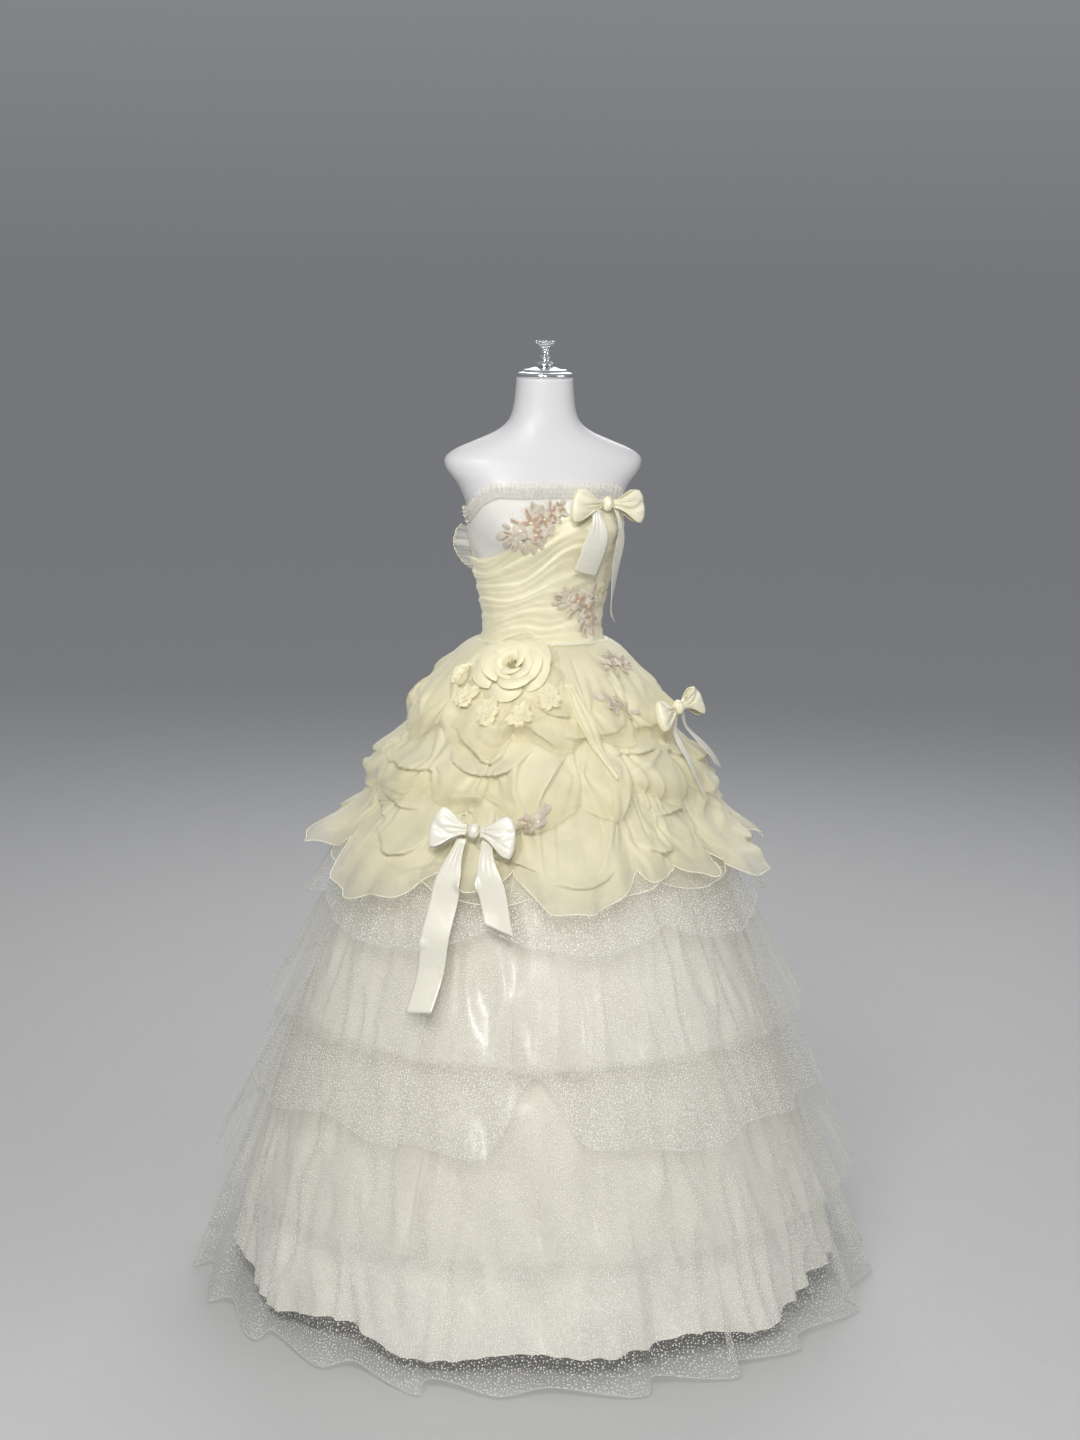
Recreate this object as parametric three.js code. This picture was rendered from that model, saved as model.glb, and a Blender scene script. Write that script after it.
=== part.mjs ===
// A strapless ball gown on a limbless dress form with a stand.
// Millimetres, +Z up, with the front towards -Y. The origin is the centre of the stand's underside.
// A bearing is an angle round the upright axis: 0 at the front, positive towards +X.
import * as THREE from "three";

const DEGREE = Math.PI / 180;
const TURN = 2 * Math.PI;

// Driving sizes
const WAIST_Z = 1100; // the seam between bodice and skirt
const FORM_FOOT_Z = 840; // underside of the torso
const NECK_TOP_Z = 1530;
const SEAM_GAP = 0.35; // between pieces that are sewn together
const LAY_GAP = 0.4; // under a piece that lies on another
const LINING_WALL = 2.2;
const NET_WALL = 1.5;
const CHIFFON_WALL = 1.8;
const SATIN_WALL = 1.6;

// Sections of the dress form's torso
const FORM_SECTIONS = [
  { z: 840, halfWidth: 146, front: 98, back: 112 },
  { z: 920, halfWidth: 150, front: 102, back: 116 },
  { z: 1000, halfWidth: 134, front: 96, back: 101 },
  { z: 1060, halfWidth: 110, front: 84, back: 82 },
  { z: 1105, halfWidth: 95, front: 76, back: 71 },
  { z: 1135, halfWidth: 94, front: 75, back: 70 },
  { z: 1180, halfWidth: 102, front: 80, back: 77 },
  { z: 1230, halfWidth: 113, front: 87, back: 85 },
  { z: 1280, halfWidth: 123, front: 92, back: 90 },
  { z: 1320, halfWidth: 129, front: 87, back: 91 },
  { z: 1355, halfWidth: 144, front: 76, back: 86 },
  { z: 1380, halfWidth: 163, front: 66, back: 78 },
  { z: 1398, halfWidth: 166, front: 60, back: 72 },
  { z: 1413, halfWidth: 148, front: 54, back: 66 },
  { z: 1428, halfWidth: 112, front: 50, back: 60 },
  { z: 1442, halfWidth: 80, front: 48, back: 55 },
  { z: 1458, halfWidth: 60, front: 47, back: 51 },
  { z: 1482, halfWidth: 51, front: 45, back: 48 },
  { z: NECK_TOP_Z, halfWidth: 46, front: 45, back: 45 },
];
const FORM_SQUARENESS = 2.25; // 2 is an ellipse
const FORM_COLUMNS = 28;
const FORM_ROW_HEIGHTS = [840, 930, 1000, 1060, 1105, 1140, 1190, 1240, 1264, 1288, 1312, 1340, 1366, 1390,
  1402, 1416, 1430, 1444, 1462, 1486, NECK_TOP_Z];
const BUST = { z: 1290, bearing: 32 * DEGREE, height: 34, spreadZ: 44, spread: 24 * DEGREE };

// Outer radius of the lining skirt
const LINING_SECTIONS = [
  { z: 0, radius: 540 },
  { z: 120, radius: 511 },
  { z: 250, radius: 474 },
  { z: 430, radius: 418 },
  { z: 600, radius: 358 },
  { z: 764, radius: 297 },
  { z: 900, radius: 232 },
  { z: 1000, radius: 172 },
  { z: 1050, radius: 138 },
  { z: 1100, radius: 101 },
];
const LINING_ROW_HEIGHTS = [1050, 1010, 930, 764, 600, 430, 220]; // the seams of the layers are among them
const LINING_COLUMNS = 40;
const LINING_HEM = { z: 26, waves: 11, drop: 12, swell: 12 };

// Skirt layers from the inside out. Each flares from a level seam on the lining, or on the piece named by on.
// folds run all the way round, foldDepth is their depth at the hem, and dip is how far they lower it.
// A curve under 1 bellies the cloth out.
const SKIRT_LAYERS = {
  floor_net: { seamZ: 430, lift: 0.45, hemZ: 12, hemRadius: 566, curve: 0.97, folds: 20,
    foldDepth: 17, dip: 3.5, perFold: 4, levels: 2, wall: NET_WALL },
  lower_pleated: { on: "floor_net", seamZ: 427, lift: 0.5, hemZ: 212, hemRadius: 544, curve: 0.95, folds: 40,
    foldDepth: 8, dip: 0, perFold: 2, levels: 1, wall: NET_WALL },
  middle_net: { seamZ: 764, lift: 0.75, hemZ: 360, hemRadius: 482, curve: 0.97, folds: 16,
    foldDepth: 6, dip: 4, perFold: 4, levels: 2, wall: NET_WALL },
  upper_pleated: { on: "middle_net", seamZ: 761, lift: 1, hemZ: 488, hemRadius: 449, curve: 0.95, folds: 36,
    foldDepth: 8, dip: 0, perFold: 2, levels: 1, wall: NET_WALL },
};
// The middle net parts at the front, where its hem rises.
const NOTCH = { bearing: -13 * DEGREE, halfAngle: 11 * DEGREE, rise: 105 };

// Draped overskirt rows: cloth is picked up at these bearings (degrees) and sags between them
const NET_PEPLUM = { seamZ: 930, lift: 1.3, hemZ: 672, hemRadius: 380, curve: 1, puff: 7, sag: 34,
  perSwag: 5, levels: 2, wall: NET_WALL, pickUps: [-176, -130, -82, -25, 20, 66, 112, 150] };
const SWAG_ROWS = {
  overskirt_hem_row: { on: "net_peplum", seamZ: 900, lift: 1.7, hemZ: 752, hemRadius: 356, curve: 0.8, puff: 20,
    sag: 44, perSwag: 5, levels: 3, wall: CHIFFON_WALL,
    pickUps: [-172, -140, -108, -80, -38, -20, 14, 27, 43, 74, 104, 136, 162] },
  overskirt_middle_row: { seamZ: 1010, lift: 1.1, hemZ: 856, hemRadius: 291, curve: 0.94, puff: 16,
    sag: 44, perSwag: 5, levels: 3, wall: CHIFFON_WALL,
    pickUps: [-165, -126, -88, -58, -32, 2, 24, 52, 88, 124, 160] },
  overskirt_waist_row: { seamZ: 1097, lift: 1.4, hemZ: 952, hemRadius: 234, curve: 0.66, puff: 11,
    sag: 46, perSwag: 5, levels: 3, wall: CHIFFON_WALL,
    pickUps: [-175, -137, -98, -62, -24, 10, 34, 78, 118, 150] },
};

// Bodice
const NECKLINE = { frontZ: 1338, sideZ: 1290, backZ: 1268 };
const SIDE_SEAM = 90 * DEGREE;
const BODICE_STEP = TURN / FORM_COLUMNS / 2; // two columns of the bodice to each of the form's
const BODICE_LIFT = 1.8; // off the form
const BODICE_FLARE = 1.2; // added towards the neckline
const BODICE_ROW_HEIGHTS = FORM_ROW_HEIGHTS.filter((z) => z > WAIST_Z + 10 && z < NECKLINE.frontZ);
const DRAPE = { leftTopZ: 1236, rightTopZ: 1330, pleats: 6, pleatDepth: 4.2, lift: 2.1, wall: 1.2 };
const FRILL = { height: 27, wavesPerColumn: 0.5, depth: 3.6, wall: 1.2 };
// Gathered ruffle that hangs from the neckline under one arm
const SIDE_RUFFLE = { bearing: -97, topZ: 1284, length: 74, width: 30, waves: 5, depth: 7, wall: 1.2,
  lift: 0.4 };

// Satin bows: the knot's place, the bearing and pitch that the bow faces, the ribbon's width, and how far
// its loops reach and puff.
// A tail hangs from its bow's knot to its own end. Each lift seats the piece on what lies beneath it.
const BOWS = [
  { name: "chest_bow", bearing: 41, z: 1324, face: 24, pitch: 0, tilt: -3,
    width: 54, loop: 64, puff: 24, lift: -1.1 },
  { name: "hip_bow", bearing: 60, z: 985, face: 48, pitch: 20, tilt: -8,
    width: 44, loop: 42, puff: 22, lift: 0.5 },
  { name: "lower_bow", bearing: -33, z: 829, face: -27, pitch: 22, tilt: 3,
    width: 62, loop: 72, puff: 26, lift: 6.5 },
];
const TAILS = [
  { name: "chest_tail_wide", bow: 0, endBearing: 23, endZ: 1216, width: 44, lift: 5.2 },
  { name: "chest_tail_narrow", bow: 0, endBearing: 74, endZ: 1128, width: 24, lift: 4.5 },
  { name: "hip_tail_front", bow: 1, endBearing: 45, endZ: 862, width: 26, lift: 5.1 },
  { name: "hip_tail_side", bow: 1, endBearing: 74, endZ: 888, width: 30, lift: 4.9 },
  { name: "lower_tail_long", bow: 2, endBearing: -38, endZ: 560, width: 46, lift: 11.7 },
  { name: "lower_tail_short", bow: 2, endBearing: -22, endZ: 690, width: 46, lift: 14 },
];
const RIBBON_WALL = 1.4;
const KNOT = { width: 20, height: 24, depth: 18 };

// Embroidered lace motifs: centre, half sizes along and across, tilt, and how many lobes the edge has
const MOTIFS = [
  { name: "chest_lace", bearing: -16, z: 1290, half: 60, across: 42, tilt: 26, lobes: 9, rings: 3,
    lift: 4.7 },
  { name: "waist_lace", bearing: 36, z: 1154, half: 44, across: 28, tilt: 74, lobes: 8, lift: 1.3 },
  { name: "hip_lace", bearing: 48, z: 1062, half: 30, across: 16, tilt: 6, lobes: 6, lift: 1 },
  { name: "overskirt_lace", bearing: 27, z: 1010, half: 42, across: 15, tilt: -28, lobes: 7, lift: 1.3 },
  { name: "lower_lace", bearing: -15, z: 850, half: 36, across: 16, tilt: 32, lobes: 6, lift: 8.1 },
];
const LACE = { wall: 1.6, lobeDepth: 0.2, dome: 0.8 };

// Chiffon rose on the hip, and the small blossoms hanging round it
const ROSE = { bearing: -29, z: 1064, face: -27, pitch: 40, heart: 6, radius: 44, turns: 2.5, height: 26,
  wall: 1.6, lift: 9 };
const ROSE_PETALS = { count: 7, inner: 16, outer: 62, notch: 0.16, depth: 10, wall: 1.6 };
const BLOSSOMS = [
  { bearing: -62, z: 1040, radius: 11, lift: 0.5 },
  { bearing: -50, z: 1010, radius: 12, lift: 0.6 },
  { bearing: -36, z: 992, radius: 13, lift: 0.7 },
  { bearing: -22, z: 990, radius: 12, lift: 0.3 },
  { bearing: -9, z: 1018, radius: 12, lift: 0.7 },
];
const BLOSSOM = { lobes: 5, lobeDepth: 0.2, dome: 5, wall: 1.6 };
const SASH = { from: { bearing: 2, z: 1046 }, to: { bearing: 14, z: 926 }, width: 30, gathered: 0.5, steps: 6,
  wall: 1.4, lift: 8 };

// Stand and neck cap
const POLE_RADIUS = 15;
const FLANGE_RADIUS = 33; // under the form
const BASE = { radius: 175, rim: 8, height: 20, boss: 34 };
const CAP_PROFILE = [[0, 0], [46, 0], [47.5, 3], [46, 7], [38, 9], [37, 13], [27, 15], [19, 17], [0, 17]];
const STEM_PROFILE = [[0, 0], [14, 0], [15, 4], [9, 9], [9.5, 13], [10.5, 16], [7, 19], [7.5, 24], [5, 28],
  [0, 28]];
const CROWN = { footRadius: 5, topRadius: 16, height: 14, wall: 3, points: 6 };

const smooth = (t) => t * t * (3 - 2 * t);
const clamp = (t, low = 0, high = 1) => Math.min(high, Math.max(low, t));
const onAxis = (bearing, radius, z) =>
  new THREE.Vector3(radius * Math.sin(bearing), -radius * Math.cos(bearing), z);
const wrapped = (angle) => Math.atan2(Math.sin(angle), Math.cos(angle));

// A column of a table of sections, read at height z on a smooth curve through its rows.
function readSections(sections, column, z) {
  const last = sections.length - 1;
  let i = 0;
  while (i < last - 1 && sections[i + 1].z < z) i++;
  const slopeAt = (k) => {
    const low = sections[Math.max(0, k - 1)];
    const high = sections[Math.min(last, k + 1)];
    return (high[column] - low[column]) / (high.z - low.z);
  };
  const from = sections[i];
  const to = sections[i + 1];
  const span = to.z - from.z;
  const t = clamp((z - from.z) / span);
  const rise = from[column] + (to[column] - from[column]) * smooth(t);
  const leaving = (t ** 3 - 2 * t ** 2 + t) * span * slopeAt(i);
  const arriving = (t ** 3 - t ** 2) * span * slopeAt(i + 1);
  return rise + leaving + arriving;
}

// Radius of the bare torso: a rounded section, of other depths in front and behind, and two soft bust curves.
function formRadius(bearing, z) {
  const halfWidth = readSections(FORM_SECTIONS, "halfWidth", z);
  const depth = readSections(FORM_SECTIONS, Math.cos(bearing) > 0 ? "front" : "back", z);
  const across = Math.abs(Math.sin(bearing)) / halfWidth;
  const along = Math.abs(Math.cos(bearing)) / depth;
  const section = (across ** FORM_SQUARENESS + along ** FORM_SQUARENESS) ** (-1 / FORM_SQUARENESS);
  const rise = (side) => {
    const turn = (wrapped(bearing) - side * BUST.bearing) / BUST.spread;
    return BUST.height * Math.exp(-(turn ** 2) - ((z - BUST.z) / BUST.spreadZ) ** 2);
  };
  return section + rise(1) + rise(-1);
}

// A closed solid from two grids of points, one on each face. A grid is an array of columns, and a closed one
// joins its ends.
function shellGeometry(outer, inner, closed) {
  const columns = outer.length;
  const rows = outer[0].length;
  const positions = [];
  for (const p of [outer, inner].flat(2)) positions.push(p.x, p.y, p.z);
  const index = [];
  const quad = (a, b, c, d) => index.push(a, b, c, a, c, d);
  const out = (i, j) => (i % columns) * rows + j;
  const back = (i, j) => columns * rows + out(i, j);
  const steps = closed ? columns : columns - 1;
  for (let i = 0; i < steps; i++) {
    for (let j = 0; j < rows - 1; j++) {
      quad(out(i, j), out(i + 1, j), out(i + 1, j + 1), out(i, j + 1));
      quad(back(i, j), back(i, j + 1), back(i + 1, j + 1), back(i + 1, j));
    }
    quad(out(i, 0), back(i, 0), back(i + 1, 0), out(i + 1, 0));
    quad(out(i, rows - 1), out(i + 1, rows - 1), back(i + 1, rows - 1), back(i, rows - 1));
  }
  if (!closed) {
    for (let j = 0; j < rows - 1; j++) {
      quad(out(0, j), out(0, j + 1), back(0, j + 1), back(0, j));
      quad(out(steps, j), back(steps, j), back(steps, j + 1), out(steps, j + 1));
    }
  }
  return facingOut(positions, index);
}

// Turns the faces round if the solid came out inside out.
function facingOut(positions, index) {
  let volume = 0;
  const corner = (k) => new THREE.Vector3(...positions.slice(3 * k, 3 * k + 3));
  for (let i = 0; i < index.length; i += 3) {
    const [a, b, c] = [corner(index[i]), corner(index[i + 1]), corner(index[i + 2])];
    volume += a.dot(b.cross(c));
  }
  if (volume < 0) index.reverse();
  const geometry = new THREE.BufferGeometry();
  geometry.setAttribute("position", new THREE.Float32BufferAttribute(positions, 3));
  geometry.setIndex(index);
  geometry.computeVertexNormals();
  return geometry;
}

// A cloth wall all the way round: surface(u, v) is its inner face, and the outer face is that moved out.
function clothGeometry({ columns, rows, surface, wall }) {
  const inner = [];
  const outer = [];
  const step = 1e-3;
  for (let i = 0; i < columns; i++) {
    const u = i / columns;
    inner.push([]);
    outer.push([]);
    for (let j = 0; j <= rows; j++) {
      const v = j / rows;
      const point = surface(u, v);
      const along = surface(u + step, v).sub(surface(u - step, v));
      const down = surface(u, Math.min(1, v + step)).sub(surface(u, Math.max(0, v - step)));
      const normal = along.cross(down).normalize();
      if (normal.dot(new THREE.Vector3(point.x, point.y, 0)) < 0) normal.negate();
      inner[i].push(point);
      outer[i].push(point.clone().addScaledVector(normal, wall));
    }
  }
  return shellGeometry(outer, inner, true);
}

// A solid lofted through closed rings of points, with its two ends flat.
function loftGeometry(rings) {
  const around = rings[0].length;
  const positions = [];
  for (const ring of rings) for (const p of ring) positions.push(p.x, p.y, p.z);
  const index = [];
  for (let r = 0; r < rings.length - 1; r++) {
    for (let i = 0; i < around; i++) {
      const [a, b] = [r * around + i, r * around + ((i + 1) % around)];
      index.push(a, b, b + around, a, b + around, a + around);
    }
  }
  for (const [ring, turn] of [[0, 1], [rings.length - 1, -1]]) {
    const centre = rings[ring].reduce((sum, p) => sum.add(p), new THREE.Vector3()).divideScalar(around);
    const hub = positions.length / 3;
    positions.push(centre.x, centre.y, centre.z);
    for (let i = 0; i < around; i++) {
      const [a, b] = [ring * around + i, ring * around + ((i + 1) % around)];
      index.push(hub, ...(turn > 0 ? [b, a] : [a, b]));
    }
  }
  return facingOut(positions, index);
}

const gown = new THREE.Group();
const pieces = {};

const MATERIALS = {
  form: new THREE.MeshStandardMaterial({ color: 0xe9e9ec, roughness: 0.55, metalness: 0 }),
  chrome: new THREE.MeshStandardMaterial({ color: 0xc9ccd0, roughness: 0.15, metalness: 1 }),
  crystal: new THREE.MeshStandardMaterial({ color: 0xe6ebf0, roughness: 0.08, metalness: 0 }),
  steel: new THREE.MeshStandardMaterial({ color: 0xb8bbc0, roughness: 0.3, metalness: 1 }),
  satin: new THREE.MeshStandardMaterial({ color: 0xf4f2e4, roughness: 0.35, metalness: 0 }),
  ivorySatin: new THREE.MeshStandardMaterial({ color: 0xf6f1cf, roughness: 0.35, metalness: 0 }),
  chiffon: new THREE.MeshStandardMaterial({ color: 0xf1ebc4, roughness: 0.75, metalness: 0 }),
  plainNet: new THREE.MeshStandardMaterial({ color: 0xeeeee6, roughness: 0.7, metalness: 0 }),
  spangledNet: new THREE.MeshStandardMaterial({ color: 0xe6e2d6, roughness: 0.5, metalness: 0 }),
  lace: new THREE.MeshStandardMaterial({ color: 0xe3d3bd, roughness: 0.6, metalness: 0 }),
  goldenFrill: new THREE.MeshStandardMaterial({ color: 0xe9e4c6, roughness: 0.5, metalness: 0 }),
};

function addPiece(name, geometry, material) {
  const mesh = new THREE.Mesh(geometry, material);
  mesh.name = name;
  gown.add(mesh);
  pieces[name] = mesh;
  mesh.updateMatrixWorld();
  return mesh;
}

// Largest radius at which these pieces are met at one bearing and height, or 0.
const ray = new THREE.Raycaster();
function outerRadius(names, bearing, z) {
  const far = 1200;
  ray.set(onAxis(bearing, far, z), onAxis(bearing, -1, 0));
  const hits = ray.intersectObjects(names.map((name) => pieces[name]), false);
  return hits.length ? far - hits[0].distance : 0;
}

// The same over a small patch: how far out a piece lies that follows the patch's slope and clears its ridges.
function clearRadius(names, bearing, z, reach) {
  const middle = outerRadius(names, bearing, z);
  const shares = [-1, -0.5, 0, 0.5, 1];
  const up = shares.map((k) => outerRadius(names, bearing, z + k * reach));
  const round = shares.map((k) => outerRadius(names, bearing + (k * reach) / middle, z));
  const climb = (up[4] - up[0]) / 2;
  const veer = (round[4] - round[0]) / 2;
  const above = shares.map((k, i) => Math.max(up[i] - k * climb, round[i] - k * veer));
  return Math.max(middle, ...above);
}

function addDressForm() {
  const rings = FORM_ROW_HEIGHTS.map((z) =>
    Array.from({ length: FORM_COLUMNS }, (_, i) => {
      const bearing = (i / FORM_COLUMNS) * TURN;
      return onAxis(bearing, formRadius(bearing, z), z);
    }),
  );
  addPiece("form_torso", loftGeometry(rings), MATERIALS.form);
}

// A turned piece from [radius, height] pairs, standing on the axis.
function turned(profile, footZ, sides) {
  const points = profile.map(([r, h]) => new THREE.Vector2(r, h));
  const geometry = new THREE.LatheGeometry(points, sides);
  geometry.rotateX(Math.PI / 2);
  geometry.translate(0, 0, footZ);
  return geometry;
}

function addNeckCap() {
  const capZ = NECK_TOP_Z + SEAM_GAP;
  const stemZ = capZ + CAP_PROFILE.at(-1)[1] + SEAM_GAP;
  const crownZ = stemZ + STEM_PROFILE.at(-1)[1] + SEAM_GAP;
  addPiece("neck_cap", turned(CAP_PROFILE, capZ, 22), MATERIALS.chrome);
  addPiece("finial_stem", turned(STEM_PROFILE, stemZ, 12), MATERIALS.chrome);
  const sides = CROWN.points * 3;
  const radiusAt = (share) => CROWN.footRadius + (CROWN.topRadius - CROWN.footRadius) * share;
  const ring = (radius, height, peak) =>
    Array.from({ length: sides }, (_, i) => {
      const bearing = (i / sides) * TURN;
      const point = peak * (Math.cos(CROWN.points * bearing) - 1);
      return onAxis(bearing, radius, crownZ + height + point);
    });
  const peak = 2;
  const rings = [
    ring(radiusAt(0), 0, 0),
    ring(radiusAt(0.5), CROWN.height / 2, 0),
    ring(CROWN.topRadius, CROWN.height, peak),
    ring(CROWN.topRadius - CROWN.wall, CROWN.height, peak),
    ring(radiusAt(0.5) - CROWN.wall, CROWN.height / 2, 0),
  ];
  addPiece("finial_crown", loftGeometry(rings), MATERIALS.crystal);
}

function addStand() {
  const { radius, rim, height, boss } = BASE;
  const base = [[0, 0], [radius - 3, 0], [radius, 3], [radius, rim], [radius - 12, rim + 4],
    [boss + 8, height - 3], [boss, height], [0, height]];
  addPiece("stand_base", turned(base, 0, 32), MATERIALS.steel);
  const foot = height + SEAM_GAP;
  const length = FORM_FOOT_Z - SEAM_GAP - foot;
  const pole = [[0, 0], [POLE_RADIUS, 0], [POLE_RADIUS, length - 30], [FLANGE_RADIUS, length - 12],
    [FLANGE_RADIUS, length], [0, length]];
  addPiece("stand_pole", turned(pole, foot, 14), MATERIALS.steel);
}

// Outer radius of the lining: round at the hem, and the bodice's own section at the waist.
function liningRadius(bearing, z) {
  const round = readSections(LINING_SECTIONS, "radius", z);
  const waistShare = smooth(clamp((z - 960) / (WAIST_Z - 960)));
  const section = formRadius(bearing, WAIST_Z) + 4.5;
  return round + (section - readSections(LINING_SECTIONS, "radius", WAIST_Z)) * waistShare;
}

function addLining() {
  const heights = [WAIST_Z - SEAM_GAP - 1.3, ...LINING_ROW_HEIGHTS, LINING_HEM.z];
  const rows = heights.length - 1;
  const surface = (u, v) => {
    const bearing = u * TURN;
    const row = Math.min(rows - 1, Math.floor(v * rows + 1e-9));
    const share = v * rows - row;
    const wave = 0.5 * (1 - Math.cos(LINING_HEM.waves * bearing));
    const low = clamp(v * rows - (rows - 1));
    const z = heights[row] + (heights[row + 1] - heights[row]) * share + LINING_HEM.drop * wave * low;
    return onAxis(bearing, liningRadius(bearing, z) - LINING_WALL - LINING_HEM.swell * wave * low, z);
  };
  const geometry = clothGeometry({ columns: LINING_COLUMNS, rows, surface, wall: LINING_WALL });
  addPiece("lining_skirt", geometry, MATERIALS.satin);
}

// Radius of a flared layer at height z, before its folds.
function flare(layer, bearing, z) {
  const under = layer.on ? outerRadius([layer.on], bearing, layer.seamZ) : liningRadius(bearing, layer.seamZ);
  const seamRadius = under + layer.lift;
  const share = Math.max(0, (layer.seamZ - z) / (layer.seamZ - layer.hemZ));
  return seamRadius + (layer.hemRadius - seamRadius) * share ** layer.curve;
}

// Pleated and folded net layers: the folds start at nothing in the seam and are deepest at the hem.
function addNetLayer(name, layer, material, hemRise = () => 0) {
  const columns = layer.folds * layer.perFold;
  const surface = (u, v) => {
    const bearing = u * TURN;
    const wave = Math.cos(layer.folds * bearing);
    const hemZ = layer.hemZ + hemRise(bearing) - layer.dip * wave;
    const z = layer.seamZ + (hemZ - layer.seamZ) * v;
    return onAxis(bearing, flare(layer, bearing, z) + layer.foldDepth * 0.5 * v * (1 + wave), z);
  };
  addPiece(name, clothGeometry({ columns, rows: layer.levels, surface, wall: layer.wall }), material);
}

// How far a bearing lies between its two pick-ups, and that swag's width compared with the mean.
function swagAt(row, bearing) {
  const ups = row.pickUps.map((b) => b * DEGREE);
  const b = wrapped(bearing);
  let i = ups.findLastIndex((up) => up <= b);
  const from = i < 0 ? ups.at(-1) - TURN : ups[i];
  const to = i === ups.length - 1 ? ups[0] + TURN : ups[i + 1];
  return { share: (b - from) / (to - from), size: ((to - from) / TURN) * ups.length };
}

// A draped row: drawn in at each pick-up, and puffed out and sagging between two of them.
function swagSurface(row) {
  return (bearing, v) => {
    const { share, size } = swagAt(row, bearing);
    const belly = Math.sin(Math.PI * clamp(share)) ** 0.75;
    const reach = clamp(size, 0.55, 1.35);
    const hemZ = row.hemZ + row.sag * (0.5 - belly * reach);
    const z = row.seamZ + (hemZ - row.seamZ) * v;
    const radius = flare(row, bearing, z) + row.puff * reach * belly * smooth(clamp(v * 1.3));
    return onAxis(bearing, radius, z);
  };
}

// Columns are shared out so that every pick-up has a column on it.
function swagBearings(row) {
  const ups = row.pickUps.map((b) => b * DEGREE);
  const stops = [];
  ups.forEach((from, i) => {
    const to = i === ups.length - 1 ? ups[0] + TURN : ups[i + 1];
    const steps = Math.max(4, Math.round((row.perSwag * ups.length * (to - from)) / TURN));
    for (let k = 0; k < steps; k++) stops.push(from + ((to - from) * k) / steps);
  });
  return stops;
}

function addSwagRow(name, row, material) {
  const stops = swagBearings(row);
  const at = swagSurface(row);
  const bearingOf = (u) => {
    const place = ((u % 1) + 1) % 1 * stops.length;
    const i = Math.floor(place + 1e-9) % stops.length;
    const next = i === stops.length - 1 ? stops[0] + TURN : stops[i + 1];
    return stops[i] + (next - stops[i]) * (place - i);
  };
  const surface = (u, v) => at(bearingOf(u), v);
  const geometry = clothGeometry({ columns: stops.length, rows: row.levels, surface, wall: row.wall });
  addPiece(name, geometry, material);
}

function addSkirt() {
  addLining();
  addNetLayer("floor_net", SKIRT_LAYERS.floor_net, MATERIALS.spangledNet);
  addNetLayer("lower_pleated", SKIRT_LAYERS.lower_pleated, MATERIALS.plainNet);
  const parting = (bearing) => {
    const off = Math.abs(wrapped(bearing - NOTCH.bearing)) / NOTCH.halfAngle;
    return NOTCH.rise * smooth(clamp(1 - off));
  };
  addNetLayer("middle_net", SKIRT_LAYERS.middle_net, MATERIALS.spangledNet, parting);
  addNetLayer("upper_pleated", SKIRT_LAYERS.upper_pleated, MATERIALS.plainNet);
  addSwagRow("net_peplum", NET_PEPLUM, MATERIALS.spangledNet);
  for (const [name, row] of Object.entries(SWAG_ROWS)) addSwagRow(name, row, MATERIALS.chiffon);
}

// Top edge of the bodice: level across the front, dipping under the arms and lower behind.
function necklineZ(bearing) {
  const turn = Math.abs(wrapped(bearing));
  const toSide = smooth(clamp((turn - 48 * DEGREE) / (42 * DEGREE)));
  const toBack = smooth(clamp((turn - 100 * DEGREE) / (60 * DEGREE)));
  const sideDrop = (NECKLINE.frontZ - NECKLINE.sideZ) * toSide;
  return NECKLINE.frontZ - sideDrop - (NECKLINE.sideZ - NECKLINE.backZ) * toBack;
}

// The cut top edge runs straight from column to column.
function edgeZ(bearing) {
  const place = bearing / BODICE_STEP;
  const low = Math.floor(place + 1e-6);
  const share = Math.max(0, place - low);
  return necklineZ(low * BODICE_STEP) * (1 - share) + necklineZ((low + 1) * BODICE_STEP) * share;
}

// Bearings from one seam to another, on the bodice's columns, with half a seam gap left at each end.
function seamToSeam(from, to) {
  const steps = Math.round(Math.abs(to - from) / BODICE_STEP);
  const inset = SEAM_GAP / 200;
  const at = (i) => clamp(from + ((to - from) * i) / steps, from + inset, to - inset);
  return Array.from({ length: steps + 1 }, (_, i) => at(i));
}

// Inner face of the bodice at one of its own heights.
function bodiceRadius(bearing, z) {
  return formRadius(bearing, z) + BODICE_LIFT + BODICE_FLARE * clamp((z - 1290) / 40);
}

// Outer face of the bodice between two of its rows, where the cloth runs straight.
function bodiceFace(bearing, z) {
  const stops = [WAIST_Z, ...BODICE_ROW_HEIGHTS, NECKLINE.frontZ];
  const i = Math.max(0, stops.findLastIndex((stop, k) => stop <= z && k < stops.length - 1));
  const share = (z - stops[i]) / (stops[i + 1] - stops[i]);
  const [low, high] = [stops[i], stops[i + 1]].map((stop) => bodiceRadius(bearing, stop));
  return low * (1 - share) + high * share + SATIN_WALL;
}

function addBodicePanel(name, from, to, material) {
  const inner = [];
  const outer = [];
  const highest = from < 0 ? NECKLINE.frontZ : NECKLINE.backZ - 20;
  const rows = [WAIST_Z + SEAM_GAP, ...BODICE_ROW_HEIGHTS.filter((z) => z < highest)];
  for (const bearing of seamToSeam(from, to)) {
    const top = edgeZ(bearing);
    const heights = [...rows.map((z, row) => Math.min(z, top - 2 * (rows.length - row))), top];
    inner.push(heights.map((z) => onAxis(bearing, bodiceRadius(bearing, z), z)));
    outer.push(heights.map((z) => onAxis(bearing, bodiceRadius(bearing, z) + SATIN_WALL, z)));
  }
  addPiece(name, shellGeometry(outer, inner, false), material);
}

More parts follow.
